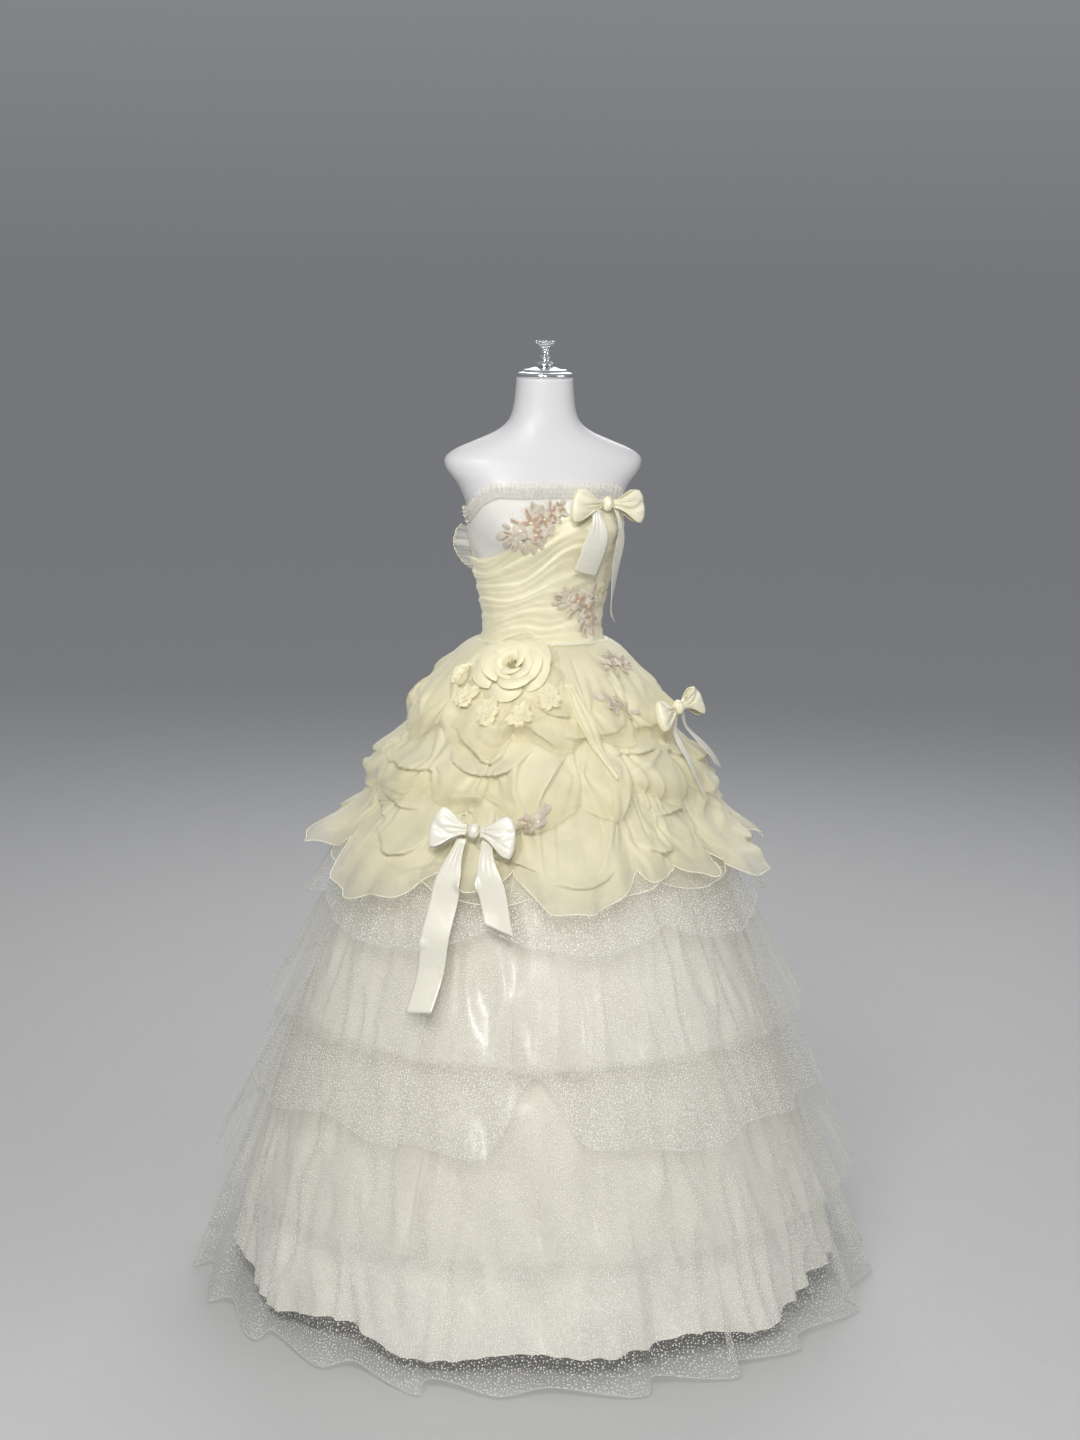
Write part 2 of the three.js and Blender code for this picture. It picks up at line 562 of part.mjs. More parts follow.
// Wrapped chiffon over the front, in pleats. Its upper edge climbs from one side to the other breast.
function addDrape() {
  const inner = [];
  const outer = [];
  const rows = DRAPE.pleats * 2;
  for (const bearing of seamToSeam(-SIDE_SEAM, SIDE_SEAM)) {
    const u = (bearing + SIDE_SEAM) / (2 * SIDE_SEAM);
    const climb = smooth(clamp((u - 0.1) / 0.62));
    const top = Math.min(edgeZ(bearing) - 3, DRAPE.leftTopZ + (DRAPE.rightTopZ - DRAPE.leftTopZ) * climb);
    const foot = WAIST_Z + SEAM_GAP;
    const line = (extra) => Array.from({ length: rows + 1 }, (_, j) => {
      const z = foot + (top - foot) * (j / rows);
      const ridge = j % 2 ? DRAPE.pleatDepth * (0.35 + 0.65 * (j / rows)) : 0;
      return onAxis(bearing, bodiceFace(bearing, z) + DRAPE.lift + ridge + extra, z);
    });
    inner.push(line(0));
    outer.push(line(DRAPE.wall));
  }
  addPiece("bodice_drape", shellGeometry(outer, inner, false), MATERIALS.chiffon);
}

// Gathered frill that stands on the neckline all the way round, in a front and a back length.
function addFrill(name, from, to) {
  const inner = [];
  const outer = [];
  for (const bearing of seamToSeam(from, to)) {
    const edge = edgeZ(bearing);
    const wave = Math.cos((bearing / BODICE_STEP) * FRILL.wavesPerColumn * TURN);
    const foot = bodiceRadius(bearing, edge);
    const topZ = edge + FRILL.height;
    const head = Math.max(foot, formRadius(bearing, topZ)) + 3 + FRILL.depth * 0.5 * (1 + wave);
    inner.push([onAxis(bearing, foot, edge + SEAM_GAP), onAxis(bearing, head, topZ)]);
    const sewn = onAxis(bearing, foot + FRILL.wall, edge + SEAM_GAP);
    outer.push([sewn, onAxis(bearing, head + FRILL.wall, topZ)]);
  }
  addPiece(name, shellGeometry(outer, inner, false), MATERIALS.goldenFrill);
}

// The underarm ruffle: one edge is sewn down the side, and the other stands out in waves.
function addSideRuffle() {
  const steps = SIDE_RUFFLE.waves * 4;
  const seam = SIDE_RUFFLE.bearing * DEGREE;
  const faces = [0, SIDE_RUFFLE.wall].map((extra) =>
    Array.from({ length: steps + 1 }, (_, i) => {
      const v = i / steps;
      const z = SIDE_RUFFLE.topZ - SIDE_RUFFLE.length * v;
      const foot = bodiceFace(seam, z) + SIDE_RUFFLE.lift;
      const reach = SIDE_RUFFLE.width * (0.75 + 0.25 * Math.sin(Math.PI * v));
      const wave = SIDE_RUFFLE.depth * Math.sin(SIDE_RUFFLE.waves * TURN * v);
      const sewn = onAxis(seam, foot, z);
      const edge = onAxis(seam, foot + reach, z + 4);
      const sideways = onAxis(seam + Math.PI / 2, 1, 0);
      return [sewn.addScaledVector(sideways, extra), edge.addScaledVector(sideways, wave + extra)];
    }),
  );
  addPiece("side_ruffle", shellGeometry(faces[1], faces[0], false), MATERIALS.goldenFrill);
}

function addBodice() {
  addBodicePanel("bodice_front", -SIDE_SEAM, SIDE_SEAM, MATERIALS.satin);
  addBodicePanel("bodice_back_right", SIDE_SEAM, Math.PI, MATERIALS.chiffon);
  addBodicePanel("bodice_back_left", Math.PI, TURN - SIDE_SEAM, MATERIALS.chiffon);
  addDrape();
  addFrill("neck_frill_front", -SIDE_SEAM, SIDE_SEAM);
  addFrill("neck_frill_back", SIDE_SEAM, TURN - SIDE_SEAM);
  addSideRuffle();
}

// All the cloth that trims are laid on.
const CLOTH = ["lining_skirt", "floor_net", "lower_pleated", "middle_net", "upper_pleated", "net_peplum",
  ...Object.keys(SWAG_ROWS), "bodice_front", "bodice_back_right", "bodice_back_left", "bodice_drape",
  "neck_frill_front", "neck_frill_back"];

// A frame on the cloth: its centre is there, across points to the viewer's right of someone facing it.
function frameAt({ bearing, z, face, pitch, lift, tilt = 0 }) {
  const centre = onAxis(bearing * DEGREE, clearRadius(CLOTH, bearing * DEGREE, z, 10) + lift, z);
  const [turn, climb] = [tilt * DEGREE, pitch * DEGREE];
  const out = onAxis(face * DEGREE, Math.cos(climb), Math.sin(climb));
  const across = new THREE.Vector3(0, 0, 1).cross(out).normalize();
  const up = out.clone().cross(across);
  across.applyAxisAngle(out, turn);
  up.applyAxisAngle(out, turn);
  return (s, t, n) =>
    centre.clone().addScaledVector(across, s).addScaledVector(up, t).addScaledVector(out, n);
}

// One loop of a bow: a band of ribbon that runs out from the knot, turns, and comes back behind itself.
function loopGeometry(place, side, bow) {
  const around = 10;
  const inner = [];
  const outer = [];
  for (let i = 0; i < around; i++) {
    const turn = (i / around) * TURN;
    const reach = 0.5 * (1 - Math.cos(turn));
    const s = side * (KNOT.width / 2 + SEAM_GAP + RIBBON_WALL + bow.loop * reach);
    const thickness = 0.5 * bow.puff * Math.sin(turn) * (0.35 + 0.65 * reach);
    const half = 0.5 * bow.width * (0.34 + 0.66 * smooth(reach));
    const normal = new THREE.Vector2(-Math.cos(turn), Math.sin(turn) * 0.9);
    const off = bow.puff / 2 + 4 + 1.5 * reach + thickness;
    const column = (extra) =>
      [-1, 0, 1].map((k) => place(s + side * normal.x * extra, k * half, off + normal.y * extra));
    inner.push(column(0));
    outer.push(column(RIBBON_WALL));
  }
  return shellGeometry(outer, inner, true);
}

function addBow(bow) {
  const place = frameAt(bow);
  const knot = new THREE.SphereGeometry(1, 8, 5).toNonIndexed();
  const spots = knot.attributes.position;
  for (let i = 0; i < spots.count; i++) {
    const [x, y, z] = [spots.getX(i), spots.getY(i), spots.getZ(i)];
    const p = place((x * KNOT.width) / 2, (y * KNOT.height) / 2, (z * KNOT.depth) / 2 + bow.puff / 2 + 4);
    spots.setXYZ(i, p.x, p.y, p.z);
  }
  knot.computeVertexNormals();
  addPiece(`${bow.name}_knot`, knot, MATERIALS.ivorySatin);
  addPiece(`${bow.name}_loop_left`, loopGeometry(place, -1, bow), MATERIALS.ivorySatin);
  addPiece(`${bow.name}_loop_right`, loopGeometry(place, 1, bow), MATERIALS.ivorySatin);
}

// A strip that hangs over the cloth from one place to another, widening from its gathered top.
function stripGeometry({ from, to, width, gathered, steps, wall, lift }) {
  const inner = [];
  const outer = [];
  const half = width / 2;
  for (const side of [-1, 0, 1]) {
    const line = [];
    for (let j = 0; j <= steps; j++) {
      const v = j / steps;
      const z = from.z + (to.z - from.z) * v;
      const middle = (from.bearing + (to.bearing - from.bearing) * v) * DEGREE;
      const spread = half * (gathered + (1 - gathered) * smooth(clamp(v * 2.2)));
      const radius = clearRadius(CLOTH, middle, z, half * 0.9);
      line.push({ bearing: middle + (side * spread) / radius, z, radius });
    }
    const rise = (p, n) => onAxis(p.bearing, p.radius + lift + n, p.z);
    inner.push(line.map((p) => rise(p, 0)));
    outer.push(line.map((p) => rise(p, wall)));
  }
  return shellGeometry(outer, inner, false);
}

function addTail(tail) {
  const bow = BOWS[tail.bow];
  const drop = KNOT.height / 2 + 2;
  const share = drop / (bow.z - tail.endZ);
  const apart = 3 * Math.sign(tail.endBearing - bow.bearing);
  const from = { bearing: bow.bearing + apart + (tail.endBearing - bow.bearing) * share, z: bow.z - drop };
  const to = { bearing: tail.endBearing, z: tail.endZ };
  const steps = Math.max(5, Math.round((from.z - to.z) / 26));
  const strip = { from, to, width: tail.width, gathered: 0.4, steps, wall: RIBBON_WALL, lift: tail.lift };
  addPiece(tail.name, stripGeometry(strip), MATERIALS.satin);
}

// A lobed disc laid over the cloth, with rings of points between its centre and its edge.
function discGeometry({ bearing, z, half, across, tilt, lobes, dome, wall, lift, lobeDepth, rings = 2 }) {
  const around = lobes * 2;
  const base = clearRadius(CLOTH, bearing, z, 4);
  const faces = [0, wall].map((extra) => {
    const spot = (s, t, share) => {
      const b = bearing + (s * Math.cos(tilt) - t * Math.sin(tilt)) / base;
      const height = z + s * Math.sin(tilt) + t * Math.cos(tilt);
      const radius = clearRadius(CLOTH, b, height, 8);
      return onAxis(b, radius + lift + extra + (extra ? dome * (1 - share * share) : 0), height);
    };
    const points = [spot(0, 0, 0)];
    for (let ring = 1; ring <= rings; ring++) {
      const share = ring / rings;
      for (let i = 0; i < around; i++) {
        const turn = (i / around) * TURN;
        const lobe = 1 + lobeDepth * (ring === rings ? Math.cos(lobes * turn) : 0) - lobeDepth;
        const reach = share * lobe;
        points.push(spot(half * reach * Math.cos(turn), across * reach * Math.sin(turn), share));
      }
    }
    return points;
  });
  const positions = faces.flat().flatMap((p) => [p.x, p.y, p.z]);
  const size = faces[0].length;
  const index = [];
  for (let i = 0; i < around; i++) {
    const next = (i + 1) % around;
    index.push(size, size + 1 + i, size + 1 + next, 0, 1 + next, 1 + i);
    for (let ring = 1; ring < rings; ring++) {
      const inside = 1 + (ring - 1) * around;
      const [a, b, c, d] = [inside + i, inside + next, inside + around + i, inside + around + next];
      index.push(size + a, size + c, size + d, size + a, size + d, size + b, a, d, c, a, b, d);
    }
    const rim = 1 + (rings - 1) * around;
    index.push(rim + i, rim + next, size + rim + next, rim + i, size + rim + next, size + rim + i);
  }
  return facingOut(positions, index);
}

function addLace() {
  for (const motif of MOTIFS) {
    const turned = { bearing: motif.bearing * DEGREE, tilt: motif.tilt * DEGREE };
    addPiece(motif.name, discGeometry({ ...LACE, ...motif, ...turned }), MATERIALS.lace);
  }
}

// How far the petals rise from the cloth, from their inner edge to their outer one.
const petalRise = (share) => ROSE_PETALS.depth * share * share;

function addRose() {
  const place = frameAt(ROSE);
  const columns = ROSE_PETALS.count * 4;
  const petals = [0, ROSE_PETALS.wall].map((extra) =>
    Array.from({ length: columns }, (_, i) => {
      const turn = (i / columns) * TURN;
      const lobe = 1 - ROSE_PETALS.notch * (1 - Math.abs(Math.cos((ROSE_PETALS.count * turn) / 2)));
      return [0, 0.5, 1].map((share) => {
        const r = ROSE_PETALS.inner + (ROSE_PETALS.outer * lobe - ROSE_PETALS.inner) * share;
        return place(r * Math.cos(turn), r * Math.sin(turn), petalRise(share) + extra);
      });
    }),
  );
  addPiece("rose_petals", shellGeometry(petals[1], petals[0], true), MATERIALS.chiffon);
  const steps = Math.round(ROSE.turns * 14);
  const spiral = [0, ROSE.wall].map((extra) =>
    Array.from({ length: steps + 1 }, (_, i) => {
      const turn = (i / 14) * TURN;
      const r = ROSE.heart + ((ROSE.radius - ROSE.heart) * i) / steps + extra;
      const height = ROSE.height * (1 - 0.35 * (i / steps) ** 2);
      const shortest = ROSE_PETALS.outer * (1 - ROSE_PETALS.notch);
      const share = clamp((r + 4 - ROSE_PETALS.inner) / (shortest - ROSE_PETALS.inner));
      const foot = petalRise(share) + ROSE_PETALS.wall + LAY_GAP;
      return [place(r * Math.cos(turn), r * Math.sin(turn), foot),
        place((r + 4) * Math.cos(turn), (r + 4) * Math.sin(turn), foot + height)];
    }),
  );
  addPiece("rose_spiral", shellGeometry(spiral[1], spiral[0], false), MATERIALS.chiffon);
  BLOSSOMS.forEach(({ bearing, radius, ...spot }, i) => {
    const shape = { ...BLOSSOM, ...spot, bearing: bearing * DEGREE, half: radius, across: radius, tilt: 0 };
    addPiece(`blossom_${i + 1}`, discGeometry(shape), MATERIALS.chiffon);
  });
}

function addSash() {
  addPiece("sash", stripGeometry(SASH), MATERIALS.chiffon);
}

addDressForm();
addNeckCap();
addStand();
addSkirt();
addBodice();
BOWS.forEach(addBow);
TAILS.forEach(addTail);
addLace();
addRose();
addSash();

export default gown;
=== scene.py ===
"""Looks of a strapless ball gown on a limbless dress form, built over its solid frame.

Lengths in the formulas are millimetres, and every mesh is written in metres. A bearing is an angle round the
upright axis: 0 at the front, which faces -Y, and positive towards +X.
"""

import math

import bpy
import numpy as np
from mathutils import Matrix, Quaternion, Vector


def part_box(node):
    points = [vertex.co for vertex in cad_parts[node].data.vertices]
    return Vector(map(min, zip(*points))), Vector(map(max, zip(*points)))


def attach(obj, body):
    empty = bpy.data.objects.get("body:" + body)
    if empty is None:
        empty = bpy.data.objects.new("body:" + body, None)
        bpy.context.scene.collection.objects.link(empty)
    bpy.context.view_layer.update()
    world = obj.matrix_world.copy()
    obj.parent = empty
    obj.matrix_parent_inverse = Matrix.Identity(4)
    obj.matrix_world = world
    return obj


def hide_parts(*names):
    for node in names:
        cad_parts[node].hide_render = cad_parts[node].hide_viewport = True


bl_info = {
    "name": "Ball Gown on a Dress Form",
    "version": (1, 0, 0),
    "blender": (4, 5, 0),
    "location": "3D View > Sidebar > Ball Gown",
    "description": "Nets, draped overskirt, bodice, bows, rose and lace of a ball gown, with its form and studio",
    "category": "Add Mesh",
}

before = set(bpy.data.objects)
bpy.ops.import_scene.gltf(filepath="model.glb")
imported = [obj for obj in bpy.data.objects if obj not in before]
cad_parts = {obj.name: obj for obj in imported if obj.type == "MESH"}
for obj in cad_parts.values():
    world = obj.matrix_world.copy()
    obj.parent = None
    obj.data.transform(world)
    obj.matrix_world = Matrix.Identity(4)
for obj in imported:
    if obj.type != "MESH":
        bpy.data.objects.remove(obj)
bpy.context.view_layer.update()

TURN = 2.0 * np.pi
DEG = np.pi / 180.0
MM = 0.001

# ---------------------------------------------------------------- sizes in millimetres, and bearings in degrees

WAIST_Z = 1100.0
FORM_FOOT_Z = 840.0
NECK_TOP_Z = 1530.0
SEAM_GAP = 0.35
NET_WALL = 1.5
CHIFFON_WALL = 1.8
SATIN_WALL = 1.6

# z, half width, depth in front, depth behind
FORM_SECTIONS = np.array([
    (840, 146, 98, 112), (920, 150, 102, 116), (1000, 134, 96, 101), (1060, 110, 84, 82),
    (1105, 95, 76, 71), (1135, 94, 75, 70), (1180, 102, 80, 77), (1230, 113, 87, 85),
    (1280, 123, 92, 90), (1320, 129, 87, 91), (1355, 144, 76, 86), (1380, 163, 66, 78),
    (1398, 166, 60, 72), (1413, 148, 54, 66), (1428, 112, 50, 60), (1442, 80, 48, 55),
    (1458, 60, 47, 51), (1482, 51, 45, 48), (1530, 46, 45, 45),
], float)
FORM_SQUARENESS = 2.25
BUST = dict(z=1290.0, bearing=32 * DEG, height=34.0, spread_z=44.0, spread=24 * DEG)

# z, radius
LINING_SECTIONS = np.array([
    (0, 540), (120, 511), (250, 474), (430, 418), (600, 358), (764, 297), (900, 232), (1000, 172),
    (1050, 138), (1100, 101),
], float)
LINING_HEM = dict(z=26.0, waves=11, drop=12.0, swell=12.0, lift=16.0)
LINING_CREASE = 24.0

# Net skirts: the heights of seam and hem, the radius there and how it grows, and how many folds, how deep, how far
# they dip below the hem and how far they turn back
LAYERS = {
    "floor_net": dict(seam=480, lift=0.45, hem=12, radius=560, curve=0.97, folds=22, depth=26, dip=4.5, turn=1.35),
    "lower_pleated": dict(seam=476, lift=0.5, hem=212, radius=544, curve=0.95, folds=40, depth=8, dip=0, turn=2.1),
    "middle_net": dict(seam=764, lift=0.75, hem=360, radius=482, curve=0.97, folds=16, depth=6, dip=4, turn=1.35),
    "upper_pleated": dict(seam=761, lift=1.0, hem=488, radius=449, curve=0.95, folds=36, depth=8, dip=0, turn=2.1),
}
NOTCH = dict(bearing=-13 * DEG, half=11 * DEG, rise=105.0)

# Draped rows: as above, with the puff and sag between two pick-ups, and the pick-ups' bearings
ROWS = {
    "net_peplum": dict(seam=930, lift=1.3, hem=672, radius=380, curve=1.0, puff=7, sag=34, wall=NET_WALL,
                       ups=(-176, -130, -82, -25, 20, 66, 112, 150)),
    "overskirt_hem_row": dict(seam=900, lift=1.7, hem=752, radius=356, curve=1.1, puff=20, sag=44,
                              wall=CHIFFON_WALL,
                              ups=(-172, -140, -108, -80, -38, -20, 14, 27, 43, 74, 104, 136, 162)),
    "overskirt_middle_row": dict(seam=1010, lift=1.1, hem=856, radius=291, curve=0.94, puff=16, sag=44,
                                 wall=CHIFFON_WALL, ups=(-165, -126, -88, -58, -32, 2, 24, 52, 88, 124, 160)),
    "overskirt_waist_row": dict(seam=1097, lift=1.4, hem=952, radius=234, curve=0.66, puff=11, sag=46,
                                wall=CHIFFON_WALL, ups=(-175, -137, -98, -62, -24, 10, 34, 78, 118, 150)),
}
# Where the rows puff out further: bearing, height, how far; and how wide and high such a place is
BULGES = ((86, 905, 14), (98, 850, 14), (-101, 900, 9), (-84, 1010, 8), (172, 930, 12))
BULGE = dict(width=15, height=40)
# Wings of the lowest row's hem: bearing, width, how far out, how far up
WINGS = ((-99, 15, 9, 26), (86, 13, 6, 16), (58, 8, 8, 4), (176, 14, 9, 12))
FLOUNCE = dict(seam=900, hem_z=741, radius=352, seed=31,
               ups=(-166, -146, -118, -92, -64, -46, -8, 20, 50, 84, 122, 152))

NECKLINE = dict(front=1338.0, side=1290.0, back=1268.0)
SIDE_SEAM = 90 * DEG
SEAM_TURN = 0.0018  # from a panel's edge to the seam, as a bearing
DRAPE = dict(left_top=1236.0, right_top=1330.0, pleats=6, depth=4.2, lift=2.1, wall=1.2)
FRILL = dict(height=27.0, waves=50, columns=900, beads=104, bead_rows=(1, 5, 8, 11))
SIDE_RUFFLE = dict(bearing=-97 * DEG, top=1284.0, length=74.0, width=30.0, waves=5, depth=7.0)

# The direction that a bow faces, its ribbon's width, and how far its loops reach and puff
BOWS = {
    "chest_bow": dict(bearing=41, face=24, pitch=0, tilt=-3, z=1324, width=54, loop=62, puff=24, out=0, aside=-4,
                      above=8),
    "hip_bow": dict(bearing=60, face=38, pitch=18, tilt=8, z=985, width=50, loop=50, puff=22, out=9, aside=-5,
                    above=5),
    "lower_bow": dict(bearing=-33, face=-27, pitch=22, tilt=-4, z=829, width=66, loop=58, puff=25, out=0, aside=2,
                      above=0),
}
KNOT = dict(width=20.0, height=24.0, depth=18.0)
TAILS = {
    "chest_tail_wide": dict(bow="chest_bow", bearing=24, z=1216, width=46, slant=-6, apart=-10),
    "chest_tail_narrow": dict(bow="chest_bow", bearing=74, z=1128, width=24, slant=3),
    "hip_tail_front": dict(bow="hip_bow", bearing=52, z=862, width=15, slant=4),
    "hip_tail_side": dict(bow="hip_bow", bearing=71, z=884, width=48, slant=-8),
    "lower_tail_long": dict(bow="lower_bow", bearing=-38, z=560, width=46, slant=3),
    "lower_tail_short": dict(bow="lower_bow", bearing=-22, z=690, width=46, slant=-9),
}
MOTIFS = {
    "chest_lace": dict(bearing=-21, z=1294, half=60, across=42, tilt=26),
    "waist_lace": dict(bearing=31, z=1154, half=46, across=36, tilt=74),
    "hip_lace": dict(bearing=43, z=1069, half=34, across=20, tilt=6),
    "overskirt_lace": dict(bearing=27, z=1010, half=42, across=15, tilt=-28),
    "lower_lace": dict(bearing=-15, z=850, half=36, across=16, tilt=32),
}
# Flowers (place, size, whether pale) and leaves (place, lean, length) of the two large motifs
SPRAYS = {
    "chest_lace": (
        ((0, 8, 16, False), (22, 13, 14, False), (39, 22, 13, False), (53, 31, 10, False), (8, -11, 13, False),
         (-15, -5, 13, True), (27, -3, 12, True), (-23, -19, 11, True), (10, 26, 11, True)),
        ((-47, -14, 200, 15), (-39, -25, 215, 14), (-35, -9, 172, 13), (-27, -30, 235, 12), (-12, -34, 260, 13),
         (3, -35, 275, 13), (15, -28, 292, 12), (-8, 24, 118, 13), (-2, 34, 100, 11), (32, 36, 84, 11),
         (45, 12, 330, 12), (60, 22, 352, 11), (60, 39, 32, 10), (-25, 10, 152, 13), (-38, 2, 165, 11),
         (18, -16, 310, 11), (-31, -18, 205, 12)),
    ),
    "waist_lace": (
        ((-9, 14, 15, False), (13, 4, 15, False), (22, -18, 13, False), (-25, 19, 12, True), (7, 26, 12, True),
         (31, 12, 11, True), (6, -14, 11, True)),
        ((-41, 23, 170, 15), (-35, 6, 200, 13), (-17, -7, 230, 14), (2, -28, 250, 14), (11, -38, 265, 13),
         (27, -38, 285, 12), (37, -24, 320, 12), (39, 27, 40, 12), (19, 38, 75, 12), (-12, 33, 110, 12),
         (-29, 34, 140, 11), (-46, 12, 185, 11)),
    ),
}
ROSE = dict(face=-27, pitch=40, height=26.0)
# Petals in a ring, start radius, lean, height, foot
PETAL_RINGS = ((3, 7, 2, 24, 2), (3, 12, 14, 27, 1), (4, 18, 32, 30, 0), (5, 25, 54, 35, -4), (6, 31, 76, 52, -9))
PETAL_WIDTH = 0.05  # of the strip that the petals are cut from, in metres
BLOSSOMS = ((-62, 1052, 11), (-50, 1022, 12), (-36, 1004, 13), (-22, 1002, 12), (-9, 1030, 12))  # bearing, z, radius
BLOSSOM_RINGS = ((1.22, 2.0, 1.8), (0.62, 3.2, 2.6))  # share of the radius, foot, how steeply the petals rise
# How many cells of the cover round a point a piece clears: the stiffer it is, the more
REACH = dict(ribbon=11, ribbon_edge=4, lace=2, lace_middle=3, blossom=4, sash=5, sash_middle=6)
SASH = dict(start=(2, 1046), end=(15, 908), width=30)

CAP_PROFILE = ((0, 0), (45, 0), (46.6, 0.9), (47.5, 3), (46.6, 5.6), (46, 7), (44.5, 8.2), (39, 8.9), (38, 9.4),
               (37.4, 11.8), (36.6, 12.9), (35, 13.4), (28, 14.6), (25, 15.2), (19.6, 16.8), (18, 17), (0, 17))
STEM_PROFILE = ((0, 0), (13.6, 0), (14.6, 1.2), (15, 4), (13.4, 6.2), (9.6, 8.4), (9, 9.6), (9.3, 12.6),
                (10.5, 14.4), (10.4, 16.2), (7.4, 18.4), (7, 19.6), (7.5, 23.4), (6.6, 26.2), (5, 27.6), (0, 28))
# radius, height, share of the points' height
CROWN_PROFILE = np.array([(0.05, 0, 0), (5, 0, 0), (7.5, 3.2, 0), (11.5, 7.5, 0), (15.2, 11.5, 0.6), (16, 14, 1),
                          (14.4, 14.2, 1), (13.2, 12.6, 0.8), (9, 8.4, 0), (4, 6.4, 0), (0.05, 6, 0)])
CROWN_POINTS = 6
BASE = dict(radius=175.0, rim=8.0, height=20.0, boss=34.0)
POLE = dict(foot=20.35, top=839.65, radius=15.0, flange=33.0)

# Where the camera stands and how it looks, in degrees
CAMERA = dict(bearing=-13.0, pitch=10.7, roll=0.8)
LENS, SENSOR = 60.0, 36.0
FLOOR_HALF, FLOOR_Z = 40000.0, -0.5
AIR = ((0.178, 0.184, 0.192), (0.32, 0.33, 0.35))  # colours at the horizon and overhead
# Name, place, aim, width in metres, power in watts, colour
LAMPS = (
    ("key", (-1.35, -2.35, 2.75), (0, 0, 0.9), 0.8, 44, (1.0, 0.985, 0.955)),
    ("front", (-0.7, -3.1, 2.5), (0, 0, 1.15), 0.35, 44, (1.0, 0.99, 0.97)),
    ("fill", (3.2, -2.2, 1.9), (0, 0, 0.8), 2.4, 20, (0.97, 0.98, 1.0)),
    ("rim", (0.9, 2.7, 3.3), (0, 0, 0.9), 2.0, 60, (1.0, 0.99, 0.97)),
)

# ---------------------------------------------------------------- numbers in arrays


def smooth(t):
    """An even S curve: 3 t squared minus 2 t cubed, with t kept from 0 to 1."""
    t = np.clip(t, 0.0, 1.0)
    return t * t * (3 - 2 * t)


def wrapped(angle):
    """The same angle between minus and plus half a turn."""
    return (angle + np.pi) % TURN - np.pi


def turned(x, y, angle):
    """The point x, y carried round the middle by an angle."""
    return x * np.cos(angle) - y * np.sin(angle), x * np.sin(angle) + y * np.cos(angle)


def round_grid(columns, rows, low=0.0):
    """Bearings all the way round as a column, and even steps from low to 1 as a row."""
    return (np.arange(columns) / columns * TURN)[:, None], np.linspace(low, 1, rows)[None]


def span_grid(start, end, columns, rows, low=0.0):
    """Even steps from start to end as a column, and from low to 1 as a row."""
    return np.linspace(start, end, columns)[:, None], np.linspace(low, 1, rows)[None]


def on_axis(bearing, radius, z):
    """Points at a bearing, distance from the axis and height."""
    bearing, radius, z = np.broadcast_arrays(bearing, radius, z)
    return np.stack([radius * np.sin(bearing), -radius * np.cos(bearing), z], -1).astype(float)


def read_sections(table, column, z):
    """A column of a table of sections at height z, on a cubic curve whose slopes are those between neighbours."""
    heights, values = table[:, 0], table[:, column]
    last = len(heights) - 1
    i = np.clip(np.searchsorted(heights, z) - 1, 0, last - 1)
    low, high = np.maximum(np.arange(last + 1) - 1, 0), np.minimum(np.arange(last + 1) + 1, last)
    slope = (values[high] - values[low]) / (heights[high] - heights[low])
    span = heights[i + 1] - heights[i]
    t = np.clip((z - heights[i]) / span, 0, 1)
    rise = values[i] + (values[i + 1] - values[i]) * smooth(t)
    return rise + (t**3 - 2 * t**2 + t) * span * slope[i] + (t**3 - t**2) * span * slope[i + 1]


def form_radius(bearing, z):
    """Radius of the bare torso: a rounded section of other depths in front and behind, and two bust curves."""
    bearing, z = np.broadcast_arrays(bearing, z)
    half_width = read_sections(FORM_SECTIONS, 1, z)
    front, back = read_sections(FORM_SECTIONS, 2, z), read_sections(FORM_SECTIONS, 3, z)
    depth = np.where(np.cos(bearing) > 0, front, back)
    across, along = np.abs(np.sin(bearing)) / half_width, np.abs(np.cos(bearing)) / depth
    section = (across**FORM_SQUARENESS + along**FORM_SQUARENESS) ** (-1 / FORM_SQUARENESS)
    high = ((z - BUST["z"]) / BUST["spread_z"]) ** 2
    for side in (-1, 1):
        turn = (wrapped(bearing) - side * BUST["bearing"]) / BUST["spread"]
        section = section + BUST["height"] * np.exp(-(turn**2) - high)
    return section


def lining_radius(bearing, z):
    """Radius of the lining's outer face: round at the hem, and the bodice's own section at the waist."""
    bearing, z = np.broadcast_arrays(bearing, z)
    waist = smooth((z - 960) / (WAIST_Z - 960))
    section = form_radius(bearing, np.full(np.shape(bearing), WAIST_Z)) + 4.5
    return read_sections(LINING_SECTIONS, 1, z) + (section - LINING_SECTIONS[-1, 1]) * waist


def waves(seed, counts, bearing, down=0.0, drift=1.0):
    """Ripples round the axis from -1 to 1: cosines of whole counts, each with its own strength and phase."""
    rng = np.random.default_rng(seed)
    total, weight = 0.0, 0.0
    for count in counts:
        share, phase, lean = rng.uniform(0.5, 1), rng.uniform(0, TURN), rng.normal() * drift
        total = total + share * np.cos(count * bearing + phase + lean * down)
        weight += share
    return total / weight


def cloud(seed, x, y, size, octaves=9):
    """Soft uneven ground from -1 to 1: plane waves of about the same length in every direction."""
    rng = np.random.default_rng(seed)
    total = 0.0
    for _ in range(octaves):
        turn, k, phase = rng.uniform(0, TURN), TURN / size * rng.uniform(0.6, 1.5), rng.uniform(0, TURN)
        total = total + np.cos(k * (x * np.cos(turn) + y * np.sin(turn)) + phase)
    return total / octaves * 1.6


def tuck(x, lip=0.2):
    """A fold that repeats every 1: it rises slowly from 0 to 1 and falls back over a short lip."""
    x = x - np.floor(x)
    return np.where(x < 1 - lip, smooth(x / (1 - lip)), smooth((1 - x) / lip))


